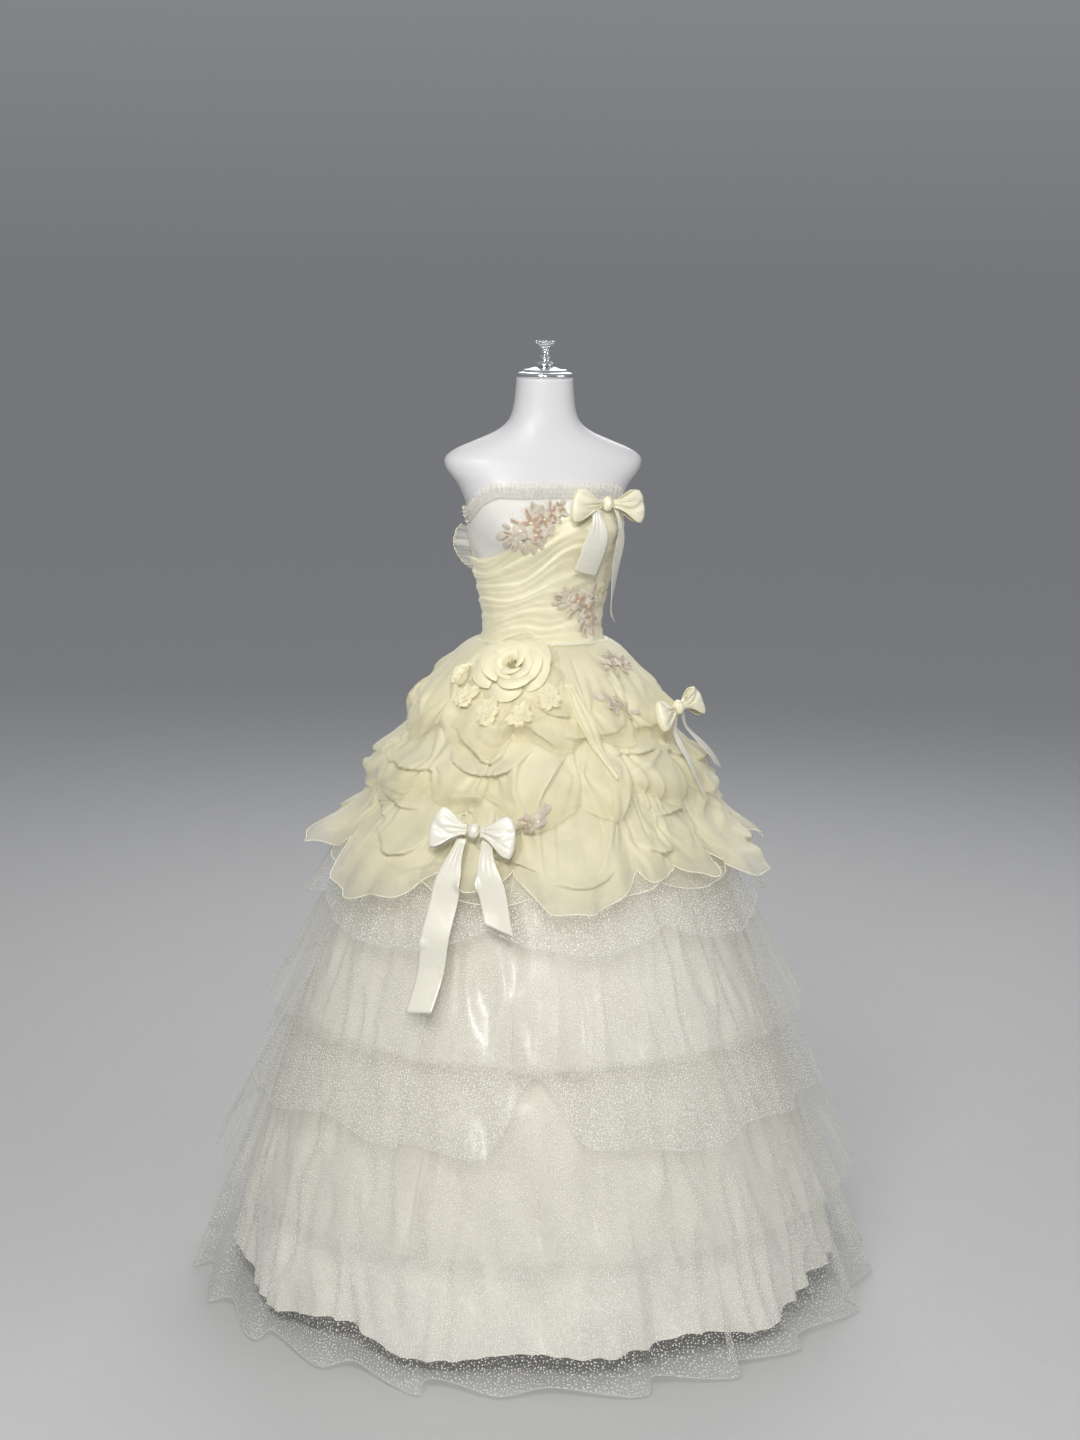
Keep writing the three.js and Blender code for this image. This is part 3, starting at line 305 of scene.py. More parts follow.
class Cover:
    """The outermost radius of all the cloth laid so far, kept over bearing and height, to lay the next on."""

    TURNS, STEP, HIGH, BETWEEN = 1440, 2.0, 800, 3

    def __init__(self):
        self.map = np.zeros((self.TURNS, self.HIGH))
        self.eased = {}

    def add(self, points, closed=True):
        """Notes the radius of every point of a grid, and of points between them by straight steps."""
        grid = np.concatenate([points, points[:1]]) if closed else points
        share = np.arange(self.BETWEEN)[:, None, None, None] / self.BETWEEN
        grid = (grid[None, :-1] * (1 - share) + grid[None, 1:] * share).reshape(-1, *grid.shape[1:])
        spots = (grid[None, :, :-1] * (1 - share) + grid[None, :, 1:] * share).reshape(-1, 3)
        turn = np.arctan2(spots[:, 0], -spots[:, 1]) % TURN
        i = np.round(turn / TURN * self.TURNS).astype(int) % self.TURNS
        k = np.clip(np.round(spots[:, 2] / self.STEP).astype(int), 0, self.HIGH - 1)
        np.maximum.at(self.map, (i, k), np.hypot(spots[:, 0], spots[:, 1]))
        near = np.maximum.reduce([np.roll(self.map, s, axis) for axis in (0, 1) for s in (-1, 1)])
        self.map = np.where(self.map == 0, near, self.map)
        self.eased = {}

    def look(self, table, bearing, z):
        """Reads a map between its cells by straight steps."""
        x = (np.asarray(bearing) % TURN) / TURN * self.TURNS
        y = np.clip(np.asarray(z) / self.STEP, 0, self.HIGH - 1.001)
        i, k = np.floor(x).astype(int), np.floor(y).astype(int)
        fx, fy = x - i, y - k
        i, nxt = i % self.TURNS, (i + 1) % self.TURNS
        low = table[i, k] * (1 - fx) + table[nxt, k] * fx
        high = table[i, k + 1] * (1 - fx) + table[nxt, k + 1] * fx
        return low * (1 - fy) + high * fy

    def at(self, bearing, z):
        """Radius just there."""
        return self.look(self.map, bearing, z)

    def lay(self, bearing, z, reach):
        """Radius that clears everything within reach cells, eased so that a stiffer piece lies smoothly."""
        if reach not in self.eased:
            table = self.map
            for axis in (0, 1):
                table = np.maximum.reduce([np.roll(table, s, axis) for s in range(-reach, reach + 1)])
            for _ in range(2):
                for axis in (0, 1):
                    table = sum(np.roll(table, s, axis) for s in range(-reach, reach + 1)) / (2 * reach + 1)
            self.eased[reach] = table
        return self.look(self.eased[reach], bearing, z)


cover = Cover()

# ---------------------------------------------------------------- meshes


def mesh_of(name, points, faces, uv=None, marks=None, share=None):
    """A mesh object from points in millimetres and faces of equal corner counts, with a UV point per corner, and
    with the share of the way round and down as a second one."""
    mesh = bpy.data.meshes.new(name)
    count, corners = faces.shape
    mesh.vertices.add(len(points))
    mesh.vertices.foreach_set("co", (points * MM).astype(np.float32).ravel())
    mesh.loops.add(count * corners)
    mesh.loops.foreach_set("vertex_index", faces.astype(np.int32).ravel())
    mesh.polygons.add(count)
    mesh.polygons.foreach_set("loop_start", np.arange(0, count * corners, corners, dtype=np.int32))
    mesh.polygons.foreach_set("use_smooth", np.ones(count, bool))
    if uv is not None:
        mesh.uv_layers.new(name="Cut").data.foreach_set("uv", uv.astype(np.float32).ravel())
    if share is not None:
        mesh.uv_layers.new(name="Share").data.foreach_set("uv", share.astype(np.float32).ravel())
    if marks is not None:
        mesh.polygons.foreach_set("material_index", marks.astype(np.int32))
    mesh.update(calc_edges=True)
    mesh.validate()
    thing = bpy.data.objects.new(name, mesh)
    bpy.context.scene.collection.objects.link(thing)
    return thing


def grid_faces(columns, rows, closed):
    """Corner numbers of the quads of a grid of points, columns first, and the grid places of their corners."""
    steps = columns if closed else columns - 1
    i, j = np.meshgrid(np.arange(steps), np.arange(rows - 1), indexing="ij")
    i, j = i.ravel(), j.ravel()
    places = np.stack([np.stack([i, j], -1), np.stack([i + 1, j], -1),
                       np.stack([i + 1, j + 1], -1), np.stack([i, j + 1], -1)], 1)
    return (places[..., 0] % columns) * rows + places[..., 1], places


def cut_lengths(points, closed):
    """Cloth coordinates in metres: the way along the middle row, and the mean way down the columns."""
    grid = np.concatenate([points, points[:1]]) if closed else points
    middle = grid[:, grid.shape[1] * 2 // 3]
    along = np.concatenate([[0], np.cumsum(np.linalg.norm(np.diff(middle, axis=0), axis=1))])
    down = np.concatenate([[0], np.cumsum(np.linalg.norm(np.diff(grid, axis=1), axis=2).mean(0))])
    return np.stack(np.meshgrid(along, down, indexing="ij"), -1) * MM


def surface(name, points, kind, closed=True, outward=None, wall=0.0, edged=False):
    """A sheet through a grid of points. Faces are turned to look away from the axis, or along outward."""
    faces, places = grid_faces(points.shape[0], points.shape[1], closed)
    uv = cut_lengths(points, closed)[places[..., 0], places[..., 1]]
    share = places / (np.array(points.shape[:2]) - (0 if closed else 1, 1)) if edged else None
    flat = points.reshape(-1, 3)
    a, b, c = flat[faces[:, 0]], flat[faces[:, 1]], flat[faces[:, 3]]
    away = a * (1, 1, 0) if outward is None else np.broadcast_to(outward, a.shape)
    if (np.cross(b - a, c - a) * away).sum() < 0:
        faces, uv, share = faces[:, ::-1], uv[:, ::-1], share[:, ::-1] if edged else None
    thing = mesh_of(name, flat, faces, uv, None, share)
    thing.data.materials.append(material(kind))
    if wall:
        solid = thing.modifiers.new("Wall", "SOLIDIFY")
        solid.thickness, solid.offset, solid.use_even_offset = wall * MM, -1, False
    return thing


def area_of(thing):
    """Area of a mesh's faces, in square metres."""
    areas = np.zeros(len(thing.data.polygons))
    thing.data.polygons.foreach_get("area", areas)
    return float(areas.sum())


def face_away(thing, middle):
    """Turns a mesh's faces to look away from a point."""
    found = {}
    for key in ("normal", "center"):
        found[key] = np.zeros(len(thing.data.polygons) * 3)
        thing.data.polygons.foreach_get(key, found[key])
    away = found["center"].reshape(-1, 3) - np.asarray(middle, float).reshape(3) * MM
    if (found["normal"].reshape(-1, 3) * away).sum() < 0:
        thing.data.flip_normals()


def tube_along(path, radius, sides=5):
    """Points of a thin round tube: a circle of that radius in the plane across the closed path at each point."""
    ahead = np.roll(path, -1, 0) - np.roll(path, 1, 0)
    ahead /= np.linalg.norm(ahead, axis=1, keepdims=True) + 1e-9
    side = np.cross(ahead, (0.0, 0.0, 1.0))
    side /= np.linalg.norm(side, axis=1, keepdims=True) + 1e-9
    up = np.cross(side, ahead)
    turn = np.arange(sides + 1) / sides * TURN
    return (path[:, None] + radius * (np.cos(turn)[None, :, None] * side[:, None]
                                      + np.sin(turn)[None, :, None] * up[:, None]))


def lathe(profile, foot, sides=96):
    """Points of a turned piece from (radius, height) pairs, standing on foot."""
    turn = np.arange(sides) / sides * TURN
    r, h = np.array(profile, float).T
    return on_axis(turn[:, None], r[None], (h + foot)[None])


def merged(thing):
    """Welds points that meet, so that poles and seams are closed."""
    thing.modifiers.new("Weld", "WELD").merge_threshold = 1e-5
    return thing


def scattered(name, patches, kinds, marks=None, edged=False):
    """One mesh of many like patches: an array of patches, each a grid of points."""
    count, columns, rows = patches.shape[:3]
    faces, places = grid_faces(columns, rows, False)
    step = np.arange(count)[:, None, None] * columns * rows
    local = places / (columns - 1, rows - 1)
    uv = np.broadcast_to(local[None], (count, *local.shape)).reshape(-1, 4, 2)
    mark = None if marks is None else np.repeat(marks, len(faces))
    thing = mesh_of(name, patches.reshape(-1, 3), (faces[None] + step).reshape(-1, 4), uv, mark,
                    uv if edged else None)
    for kind in kinds:
        thing.data.materials.append(material(kind))
    return thing


def bead_shapes(centres, radius):
    """Small round beads: a six-sided ball of 24 faces round each centre, as grids."""
    turn = np.linspace(0, TURN, 7)
    rise = np.linspace(-np.pi / 2, np.pi / 2, 5)
    ball = np.stack([np.cos(rise)[None] * np.cos(turn)[:, None], np.cos(rise)[None] * np.sin(turn)[:, None],
                     np.sin(rise)[None] + 0 * turn[:, None]], -1)
    return centres[:, None, None] + ball[None] * np.reshape(radius, (-1, 1, 1, 1))


# ---------------------------------------------------------------- materials


def fresh(name):
    """An empty node material with its output."""
    material = bpy.data.materials.new(name)
    material.use_nodes = True
    material.node_tree.nodes.clear()
    return material, material.node_tree


def node(tree, kind, inputs=None, **settings):
    """A shader node with its settings, and its inputs given as values or as the sockets that feed them."""
    made = tree.nodes.new("ShaderNode" + kind)
    for key, value in settings.items():
        setattr(made, key, value)
    for key, value in (inputs or {}).items():
        if isinstance(value, bpy.types.NodeSocket):
            tree.links.new(value, made.inputs[key])
        else:
            made.inputs[key].default_value = value
    return made


def rgba(colour):
    return (*tuple(colour)[:3], 1.0)


def shaded(colour, share):
    return tuple(c * share for c in tuple(colour)[:3]) + (1.0,)


def tint(tree, fac, low, high):
    """A mix of two colours by a number from 0 to 1."""
    return node(tree, "Mix", {0: fac, 6: rgba(low), 7: rgba(high)}, data_type="RGBA").outputs[2]


def ranged(tree, value, low, high, to_low, to_high):
    """A number moved from one range to another, and kept in it."""
    return node(tree, "MapRange", {"Value": value, "From Min": low, "From Max": high, "To Min": to_low,
                                   "To Max": to_high}).outputs[0]


def maths(tree, operation, a, b, clamp=False):
    """Two numbers joined by one operation."""
    return node(tree, "Math", {0: a, 1: b}, operation=operation, use_clamp=clamp).outputs[0]


def noise(tree, scale, detail):
    """Soft noise over a piece's own place."""
    place = node(tree, "TexCoord").outputs["Object"]
    return node(tree, "TexNoise", {"Vector": place, "Scale": scale, "Detail": detail}).outputs["Fac"]


def on_map(tree, name):
    """The coordinates of one of a mesh's UV maps."""
    return node(tree, "UVMap", uv_map=name).outputs[0]


def woven_bump(tree, scale, strength, coarse_scale, coarse):
    """A weave of two crossed sets of threads on the cut's own coordinates, over a soft unevenness."""
    cut = on_map(tree, "Cut")
    threads = [node(tree, "TexWave", {"Vector": cut, "Scale": scale, "Distortion": 0.4},
                    bands_direction=way).outputs["Fac"] for way in ("X", "Y")]
    soft = noise(tree, coarse_scale, 3.0)
    first = node(tree, "Bump", {"Height": soft, "Strength": coarse, "Distance": 0.004})
    second = node(tree, "Bump", {"Height": maths(tree, "ADD", *threads), "Strength": strength,
                                 "Distance": 0.0002, "Normal": first.outputs[0]})
    return second.outputs[0], soft, cut


def satin_material(name, colour, dark=0.9, rough=(0.26, 0.4), crumple=0.25, coarse_scale=26.0, coat=0.25):
    """Duchesse satin: long glossy threads, soft unevenness, and a deeper tone where that unevenness dips:
    painted shade in its hollows.
    """
    made, tree = fresh(name)
    normal, soft, _ = woven_bump(tree, 900.0, 0.12, coarse_scale, crumple)
    # Base colour: falls to the share dark of itself where the soft unevenness is low, a painted shade in its hollows
    skin = node(tree, "BsdfPrincipled", {
        "Base Color": tint(tree, soft, shaded(colour, dark), colour), "Roughness": ranged(tree, soft, 0.3, 0.7, *rough),
        "Sheen Weight": 0.15, "Sheen Roughness": 0.4, "Anisotropic": 0.4, "Specular IOR Level": 0.8,
        "Coat Weight": coat, "Coat Roughness": 0.22, "Normal": normal})
    node(tree, "OutputMaterial", {0: skin.outputs[0]})
    return made


def sheer_material(name, colour, cover_share, back_glow=0.35, rough=0.55, sheen=0.5, streak=0.0, dots=None,
                   weave=700.0, crumple=0.35, thin_edge=0.0):
    """Thin cloth that lets some light by: crepe or net threads, streaks of gathered cloth, and glitter dots. Where
    it has thin edges, its last part lies single and lets more light by."""
    made, tree = fresh(name)
    normal, soft, cut = woven_bump(tree, weave, 0.2, 22.0, crumple)
    # The base colour falls to 0.93 of itself where the soft unevenness is low: painted shade in its hollows
    base, shine = tint(tree, soft, shaded(colour, 0.93), colour), rough
    thick = ranged(tree, soft, 0.25, 0.75, cover_share * 0.92, min(1.0, cover_share * 1.08))
    if streak:
        stretched = node(tree, "Mapping", {"Vector": cut, "Scale": (30.0, 1.2, 1.0)})
        gathers = node(tree, "TexNoise", {"Vector": stretched.outputs[0], "Scale": 1.0, "Detail": 2.0})
        dense = ranged(tree, gathers.outputs["Fac"], 0.35, 0.68, -streak, streak)
        thick = maths(tree, "ADD", thick, dense, True)
    if thin_edge:
        way = node(tree, "SeparateXYZ", {"Vector": on_map(tree, "Share")}).outputs[1]
        thick = maths(tree, "SUBTRACT", thick, ranged(tree, way, 0.7, 1.0, 0.0, thin_edge), True)
    if dots:
        cells = node(tree, "TexVoronoi", {"Vector": cut, "Scale": 1.0 / dots["pitch"], "Randomness": 0.8},
                     voronoi_dimensions="2D")
        parts = node(tree, "SeparateColor", {"Color": cells.outputs["Color"]})
        size = ranged(tree, parts.outputs[0], 0.0, 1.0, dots["size"] * 0.45, dots["size"])
        spot = maths(tree, "LESS_THAN", cells.outputs["Distance"], size)
        thick = maths(tree, "MAXIMUM", thick, spot)
        base = node(tree, "Mix", {0: spot, 6: base, 7: (1.0, 0.99, 0.96, 1.0)}, data_type="RGBA").outputs[2]
        shine = ranged(tree, spot, 0.0, 1.0, rough, 0.2)
    skin = node(tree, "BsdfPrincipled", {"Base Color": base, "Roughness": shine, "Sheen Weight": sheen,
                                         "Sheen Roughness": 0.5, "Normal": normal})
    glow = node(tree, "BsdfTranslucent", {"Color": base, "Normal": normal})
    cloth = node(tree, "MixShader", {0: back_glow, 1: skin.outputs[0], 2: glow.outputs[0]})
    clear = node(tree, "BsdfTransparent")
    both = node(tree, "MixShader", {0: thick, 1: clear.outputs[0], 2: cloth.outputs[0]})
    node(tree, "OutputMaterial", {0: both.outputs[0]})
    return made


def thread_material(name, colour, dark):
    """Satin stitch: close ridges of thread along each petal, lighter where they catch the light."""
    made, tree = fresh(name)
    rows = node(tree, "TexWave", {"Vector": on_map(tree, "Cut"), "Scale": 9.0, "Distortion": 1.2, "Detail": 1.0},
                bands_direction="DIAGONAL")
    base = tint(tree, ranged(tree, noise(tree, 90.0, 2.0), 0.35, 0.65, 0.0, 1.0), shaded(colour, dark), colour)
    bump = node(tree, "Bump", {"Height": rows.outputs["Fac"], "Strength": 0.7, "Distance": 0.0006})
    skin = node(tree, "BsdfPrincipled", {"Base Color": base, "Roughness": 0.45, "Sheen Weight": 0.3,
                                         "Normal": bump.outputs[0]})
    node(tree, "OutputMaterial", {0: skin.outputs[0]})
    return made


def hard_material(name, colour, rough, metal=0.0, grain=0.05, scale=220.0, clear=0.0, coat=0.0):
    """Moulded plastic, plated metal or cut crystal, with a fine grain in its shine and surface."""
    made, tree = fresh(name)
    fine = noise(tree, scale, 3.0)
    bump = node(tree, "Bump", {"Height": fine, "Strength": grain, "Distance": 0.0004})
    skin = node(tree, "BsdfPrincipled", {
        "Base Color": tint(tree, noise(tree, 9.0, 2.0), shaded(colour, 0.97), colour),
        "Roughness": ranged(tree, fine, 0.3, 0.7, rough * 0.85, rough * 1.15), "Metallic": metal,
        "Transmission Weight": clear, "Coat Weight": coat, "IOR": 1.5, "Normal": bump.outputs[0]})
    node(tree, "OutputMaterial", {0: skin.outputs[0]})
    return made


MATERIALS = {}


def material(kind):
    """The gown's materials, each made once from the colours in the sidebar."""
    if kind in MATERIALS:
        return MATERIALS[kind]
    tone = bpy.context.scene.gown_colours
    size = bpy.context.scene.gown_sizes
    dots = {"pitch": size.dot_pitch, "size": 0.5 * size.dot_size / size.dot_pitch}
    soft = dict(rough=0.42, sheen=0.6)
    net = dict(back_glow=0.4, rough=0.7, sheen=0.3, weave=420.0)
    maker, name, colour, *rest, named = {
        # For a satin, the first number after its colour is the share of it left in the painted shade of its hollows
        "lining": (satin_material, "lining_satin", tone.lining, 0.88, (0.2, 0.32), 1.0, 17.0, 0.9, {}),
        "satin": (satin_material, "white_satin", tone.satin, 0.93, {}),
        "ribbon": (satin_material, "ribbon_satin", tone.ribbon, 0.95, (0.24, 0.36), 0.3, 34.0, 0.3, {}),
        "yellow": (satin_material, "yellow_satin", tone.yellow, 0.93, (0.26, 0.38), 0.3, 34.0, 0.3, {}),
        "hem": (satin_material, "rolled_hem", tone.hem, 0.95, (0.35, 0.45), 0.1, 60.0, {}),
        "net_edge": (satin_material, "net_edge", shaded(tone.net, 0.86), 0.95, (0.4, 0.5), 0.1, 60.0, {}),
        "chiffon": (sheer_material, "yellow_organza", tone.chiffon, size.chiffon_cover, 0.22,
                    dict(soft, crumple=0.18, thin_edge=0.42)),
        "sheer": (sheer_material, "sheer_organza", tone.hem, size.chiffon_cover * 0.62, 0.3,
                  dict(soft, crumple=0.18, thin_edge=0.3)),
        "drape": (sheer_material, "draped_organza", tone.chiffon, 0.93, 0.15, dict(soft, crumple=0.2)),
        "petal": (sheer_material, "petal_organza", tone.chiffon, 0.94, 0.2, dict(soft, crumple=0.1, thin_edge=0.35)),
        "plain": (sheer_material, "pleated_net", tone.net, size.net_cover, dict(net, streak=0.06)),
        "glitter": (sheer_material, "glitter_net", tone.net, size.net_cover * 0.72, dict(net, dots=dots)),
        "frill": (sheer_material, "frill_net", tone.frill, 0.5, 0.4, 0.5, 0.5, 0.25, None, 500.0, {}),
        "lace_rose": (thread_material, "lace_rose", tone.lace_rose, 0.84, {}),
        "lace_white": (thread_material, "lace_white", tone.lace_white, 0.88, {}),
        "gold": (hard_material, "gold_sequins", tone.gold, 0.25, 0.45, 0.02, 500.0, {}),
        "bead": (hard_material, "glass_beads", tone.bead, 0.16, 0.0, 0.02, 500.0, 0.0, 0.8, {}),
        "form": (hard_material, "form_skin", tone.form, 0.5, 0.0, 0.06, 320.0, 0.0, 0.08, {}),
        "chrome": (hard_material, "polished_chrome", (0.80, 0.81, 0.83), 0.09, 1.0, 0.01, 400.0, {}),
        "steel": (hard_material, "brushed_steel", (0.62, 0.63, 0.65), 0.3, 1.0, 0.05, 400.0, {}),
        "crystal": (hard_material, "cut_crystal", (0.96, 0.98, 1.0), 0.04, 0.0, 0.0, 100.0, 0.85, {}),
        "floor": (hard_material, "studio_paint", tone.floor, 0.75, 0.0, 0.02, 40.0, {}),
    }[kind]
    MATERIALS[kind] = maker(name, colour, *rest, **named)
    return MATERIALS[kind]


# ---------------------------------------------------------------- what all pieces share

SLOTS = {"lining": "satin", "satin": "satin", "drape": "organza", "chiffon": "organza", "sheer": "organza",
         "glitter": "spangled_net", "plain": "plain_net", "frill": "frill"}


def settle(piece, slot, replaces=None):
    """Puts a finished piece on the root body, and hides the solid that it stands for. Its slot is not used."""
    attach(piece, "root")
    if replaces:
        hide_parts(replaces)
    return piece


def closed_piece(name, points, kind, slot, replaces):
    """A turned or rounded piece, with its poles closed."""
    return settle(merged(surface(name, points, kind)), slot, replaces)


def cut_from(piece, width):
    """Divides a piece's area by a strip's width, in metres, which gives the strip's length; the result is not kept."""
    area_of(piece) / width


def cloth(name, points, kind, replaces, rests_on, held="gathered", closed=True, parts=(), wall=0.0, outward=None):
    """A sheet of the gown: its surface, put on the root body with the solid that it stands for hidden."""
    piece = surface(name, points, kind, closed, outward, wall, kind in ("chiffon", "sheer"))
    settle(piece, SLOTS[kind], replaces)
    down = np.linalg.norm(np.diff(points, axis=1), axis=2).sum(1).mean() * MM
    area_of(piece) / down
    list(parts)


def rolled_hem(name, path, of_net=False):
    """The thin rolled edge of a sheet, a round cord of thread along the last row of its points."""
    kind, slot, radius = ("net_edge", "spangled_net", 0.5) if of_net else ("hem", "organza", 0.9)
    return settle(merged(surface(name, tube_along(path, radius), kind, True, (0, 0, 0))), slot)


def beads(name, centres, radii, slot, kinds=("bead", "gold"), marks=None):
    """Round beads about those points, in two materials by their marks."""
    return settle(merged(scattered(name, bead_shapes(centres, radii), kinds, marks)), slot)


# ---------------------------------------------------------------- skirts


def flared(spec, bearing, z, wall, over_cloth):
    """Radius of a flared layer: from what it is sewn to, out to the radius at its hem, by a power of the way down."""
    under = lining_radius(bearing, spec["seam"])
    if over_cloth:
        under = np.maximum(under, cover.at(bearing, spec["seam"]))
    start = under + spec["lift"] + wall
    way = np.clip((spec["seam"] - z) / (spec["seam"] - spec["hem"]), 0, None)
    return start + (spec["radius"] + wall - start) * way ** spec["curve"]


def net_points(name, columns, rows, rise=None):
    """A flared net: from its seam radius to its hem radius, with folds that deepen towards the hem. Each fold is
    carried round by a cosine of its own phase, so that the fuller ones turn back over themselves as pleats do."""
    spec = LAYERS[name]
    seed = sum(map(ord, name))
    pleated = name.endswith("pleated")
    u, v = round_grid(columns, rows)
    phase = spec["folds"] * u + 0.9 * waves(seed + 1, (2, 5, 7), u)
    wave = np.cos(phase)
    full = np.clip(0.62 + 0.7 * waves(seed + 6, (3, 7, 11, 13), u), 0, 1)
    b = u + spec["turn"] * full * v**1.2 * wave / spec["folds"]
    b = b + 0.012 * v * waves(seed + 7, (4, 9), u, 2 * v)
    hem = spec["hem"] + (rise(b) if rise else 0) - spec["dip"] * wave + 4.0 * waves(seed + 2, (13, 22, 31), u)
    z = spec["seam"] + (hem - spec["seam"]) * v
    radius = flared(spec, b, z, NET_WALL, pleated)
    radius = radius + spec["depth"] * v * 0.5 * (1 + wave) * (0.8 + 0.5 * full)
    radius = radius + 4.0 * v * waves(seed + 3, (9, 16, 25), u, v * 3)
    if pleated:
        crimp = np.cos(3 * phase + 1.2 * waves(seed + 4, (11, 17, 23), u))
        radius = radius + 0.7 * crimp * smooth(v * 5) * (0.6 + 0.4 * waves(seed + 5, (31, 43), u))
    return b, z, radius


def laid_over(b, z, radius, gap=0.9):
    """The same sheet, moved out where it would cut the cloth beneath it."""
    return np.maximum(radius, cover.at(b, z) + gap)


def swag_share(ups, bearing):
    """How far each bearing lies between its two pick-ups, and that swag's width compared with the mean."""
    ups = np.sort(np.array(ups, float)) * DEG
    b = wrapped(bearing)
    i = np.searchsorted(ups, b, side="right") - 1
    start = np.where(i < 0, ups[-1] - TURN, ups[i])
    end = np.where(i == len(ups) - 1, ups[0] + TURN, ups[(i + 1) % len(ups)])
    return (b - start) / (end - start), (end - start) / TURN * len(ups), i % len(ups)


def row_points(name, columns, rows):
    """A draped row: drawn in at each pick-up, and puffed out and sagging, to one side more, between two."""
    spec = ROWS[name]
    rng = np.random.default_rng(sum(map(ord, name)))
    b, v = round_grid(columns, rows)
    share, size, i = swag_share(spec["ups"], b)
    swags = len(spec["ups"])
    lean = rng.uniform(-0.45, 0.45, swags)[i]
    leaning = np.clip(share + lean * share * (1 - share), 0, 1)
    belly = np.sin(np.pi * leaning) ** 0.75
    reach = np.clip(size, 0.55, 1.35)
    upper = name in ("overskirt_middle_row", "overskirt_waist_row")
    sag = spec["sag"] * (rng.uniform(0.2, 0.9, swags)[i] if upper else 1.0)
    hem = spec["hem"] + sag * (0.5 - (belly**1.6 if upper else belly) * reach)
    if upper:
        hem = hem + 13 * waves(len(name), (5, 8, 13), b) - 4
    z = spec["seam"] + (hem - spec["seam"]) * v
    radius = flared(spec, b, z, spec["wall"], name == "overskirt_hem_row")
    radius = radius + spec["puff"] * reach * belly * smooth(v * 1.3)
    return b, v, z, radius, share, size, i, rng


def gathers(b, v, share, size, i, rng, swags):
    """Fans of small folds that spread up and down from each pick-up, and long ones that fall from the seam."""
    height = rng.uniform(0.45, 0.8, swags)[i]
    start = rng.uniform(0, TURN, swags)[i]
    near = np.minimum(share, 1 - share) * size
    spread = np.arctan2(near * 1.1, np.abs(v - height) + 0.08)
    fan = np.cos(9 * spread + start) * np.exp(-((near / 0.3) ** 2)) * smooth(v * 2.2)
    fall = waves(41, (21, 33, 47), b, 3 * v, 1.2) * smooth(v * 6) * (1 - smooth((v - 0.25) / 0.5))
    return 3.0 * fan + 1.9 * fall


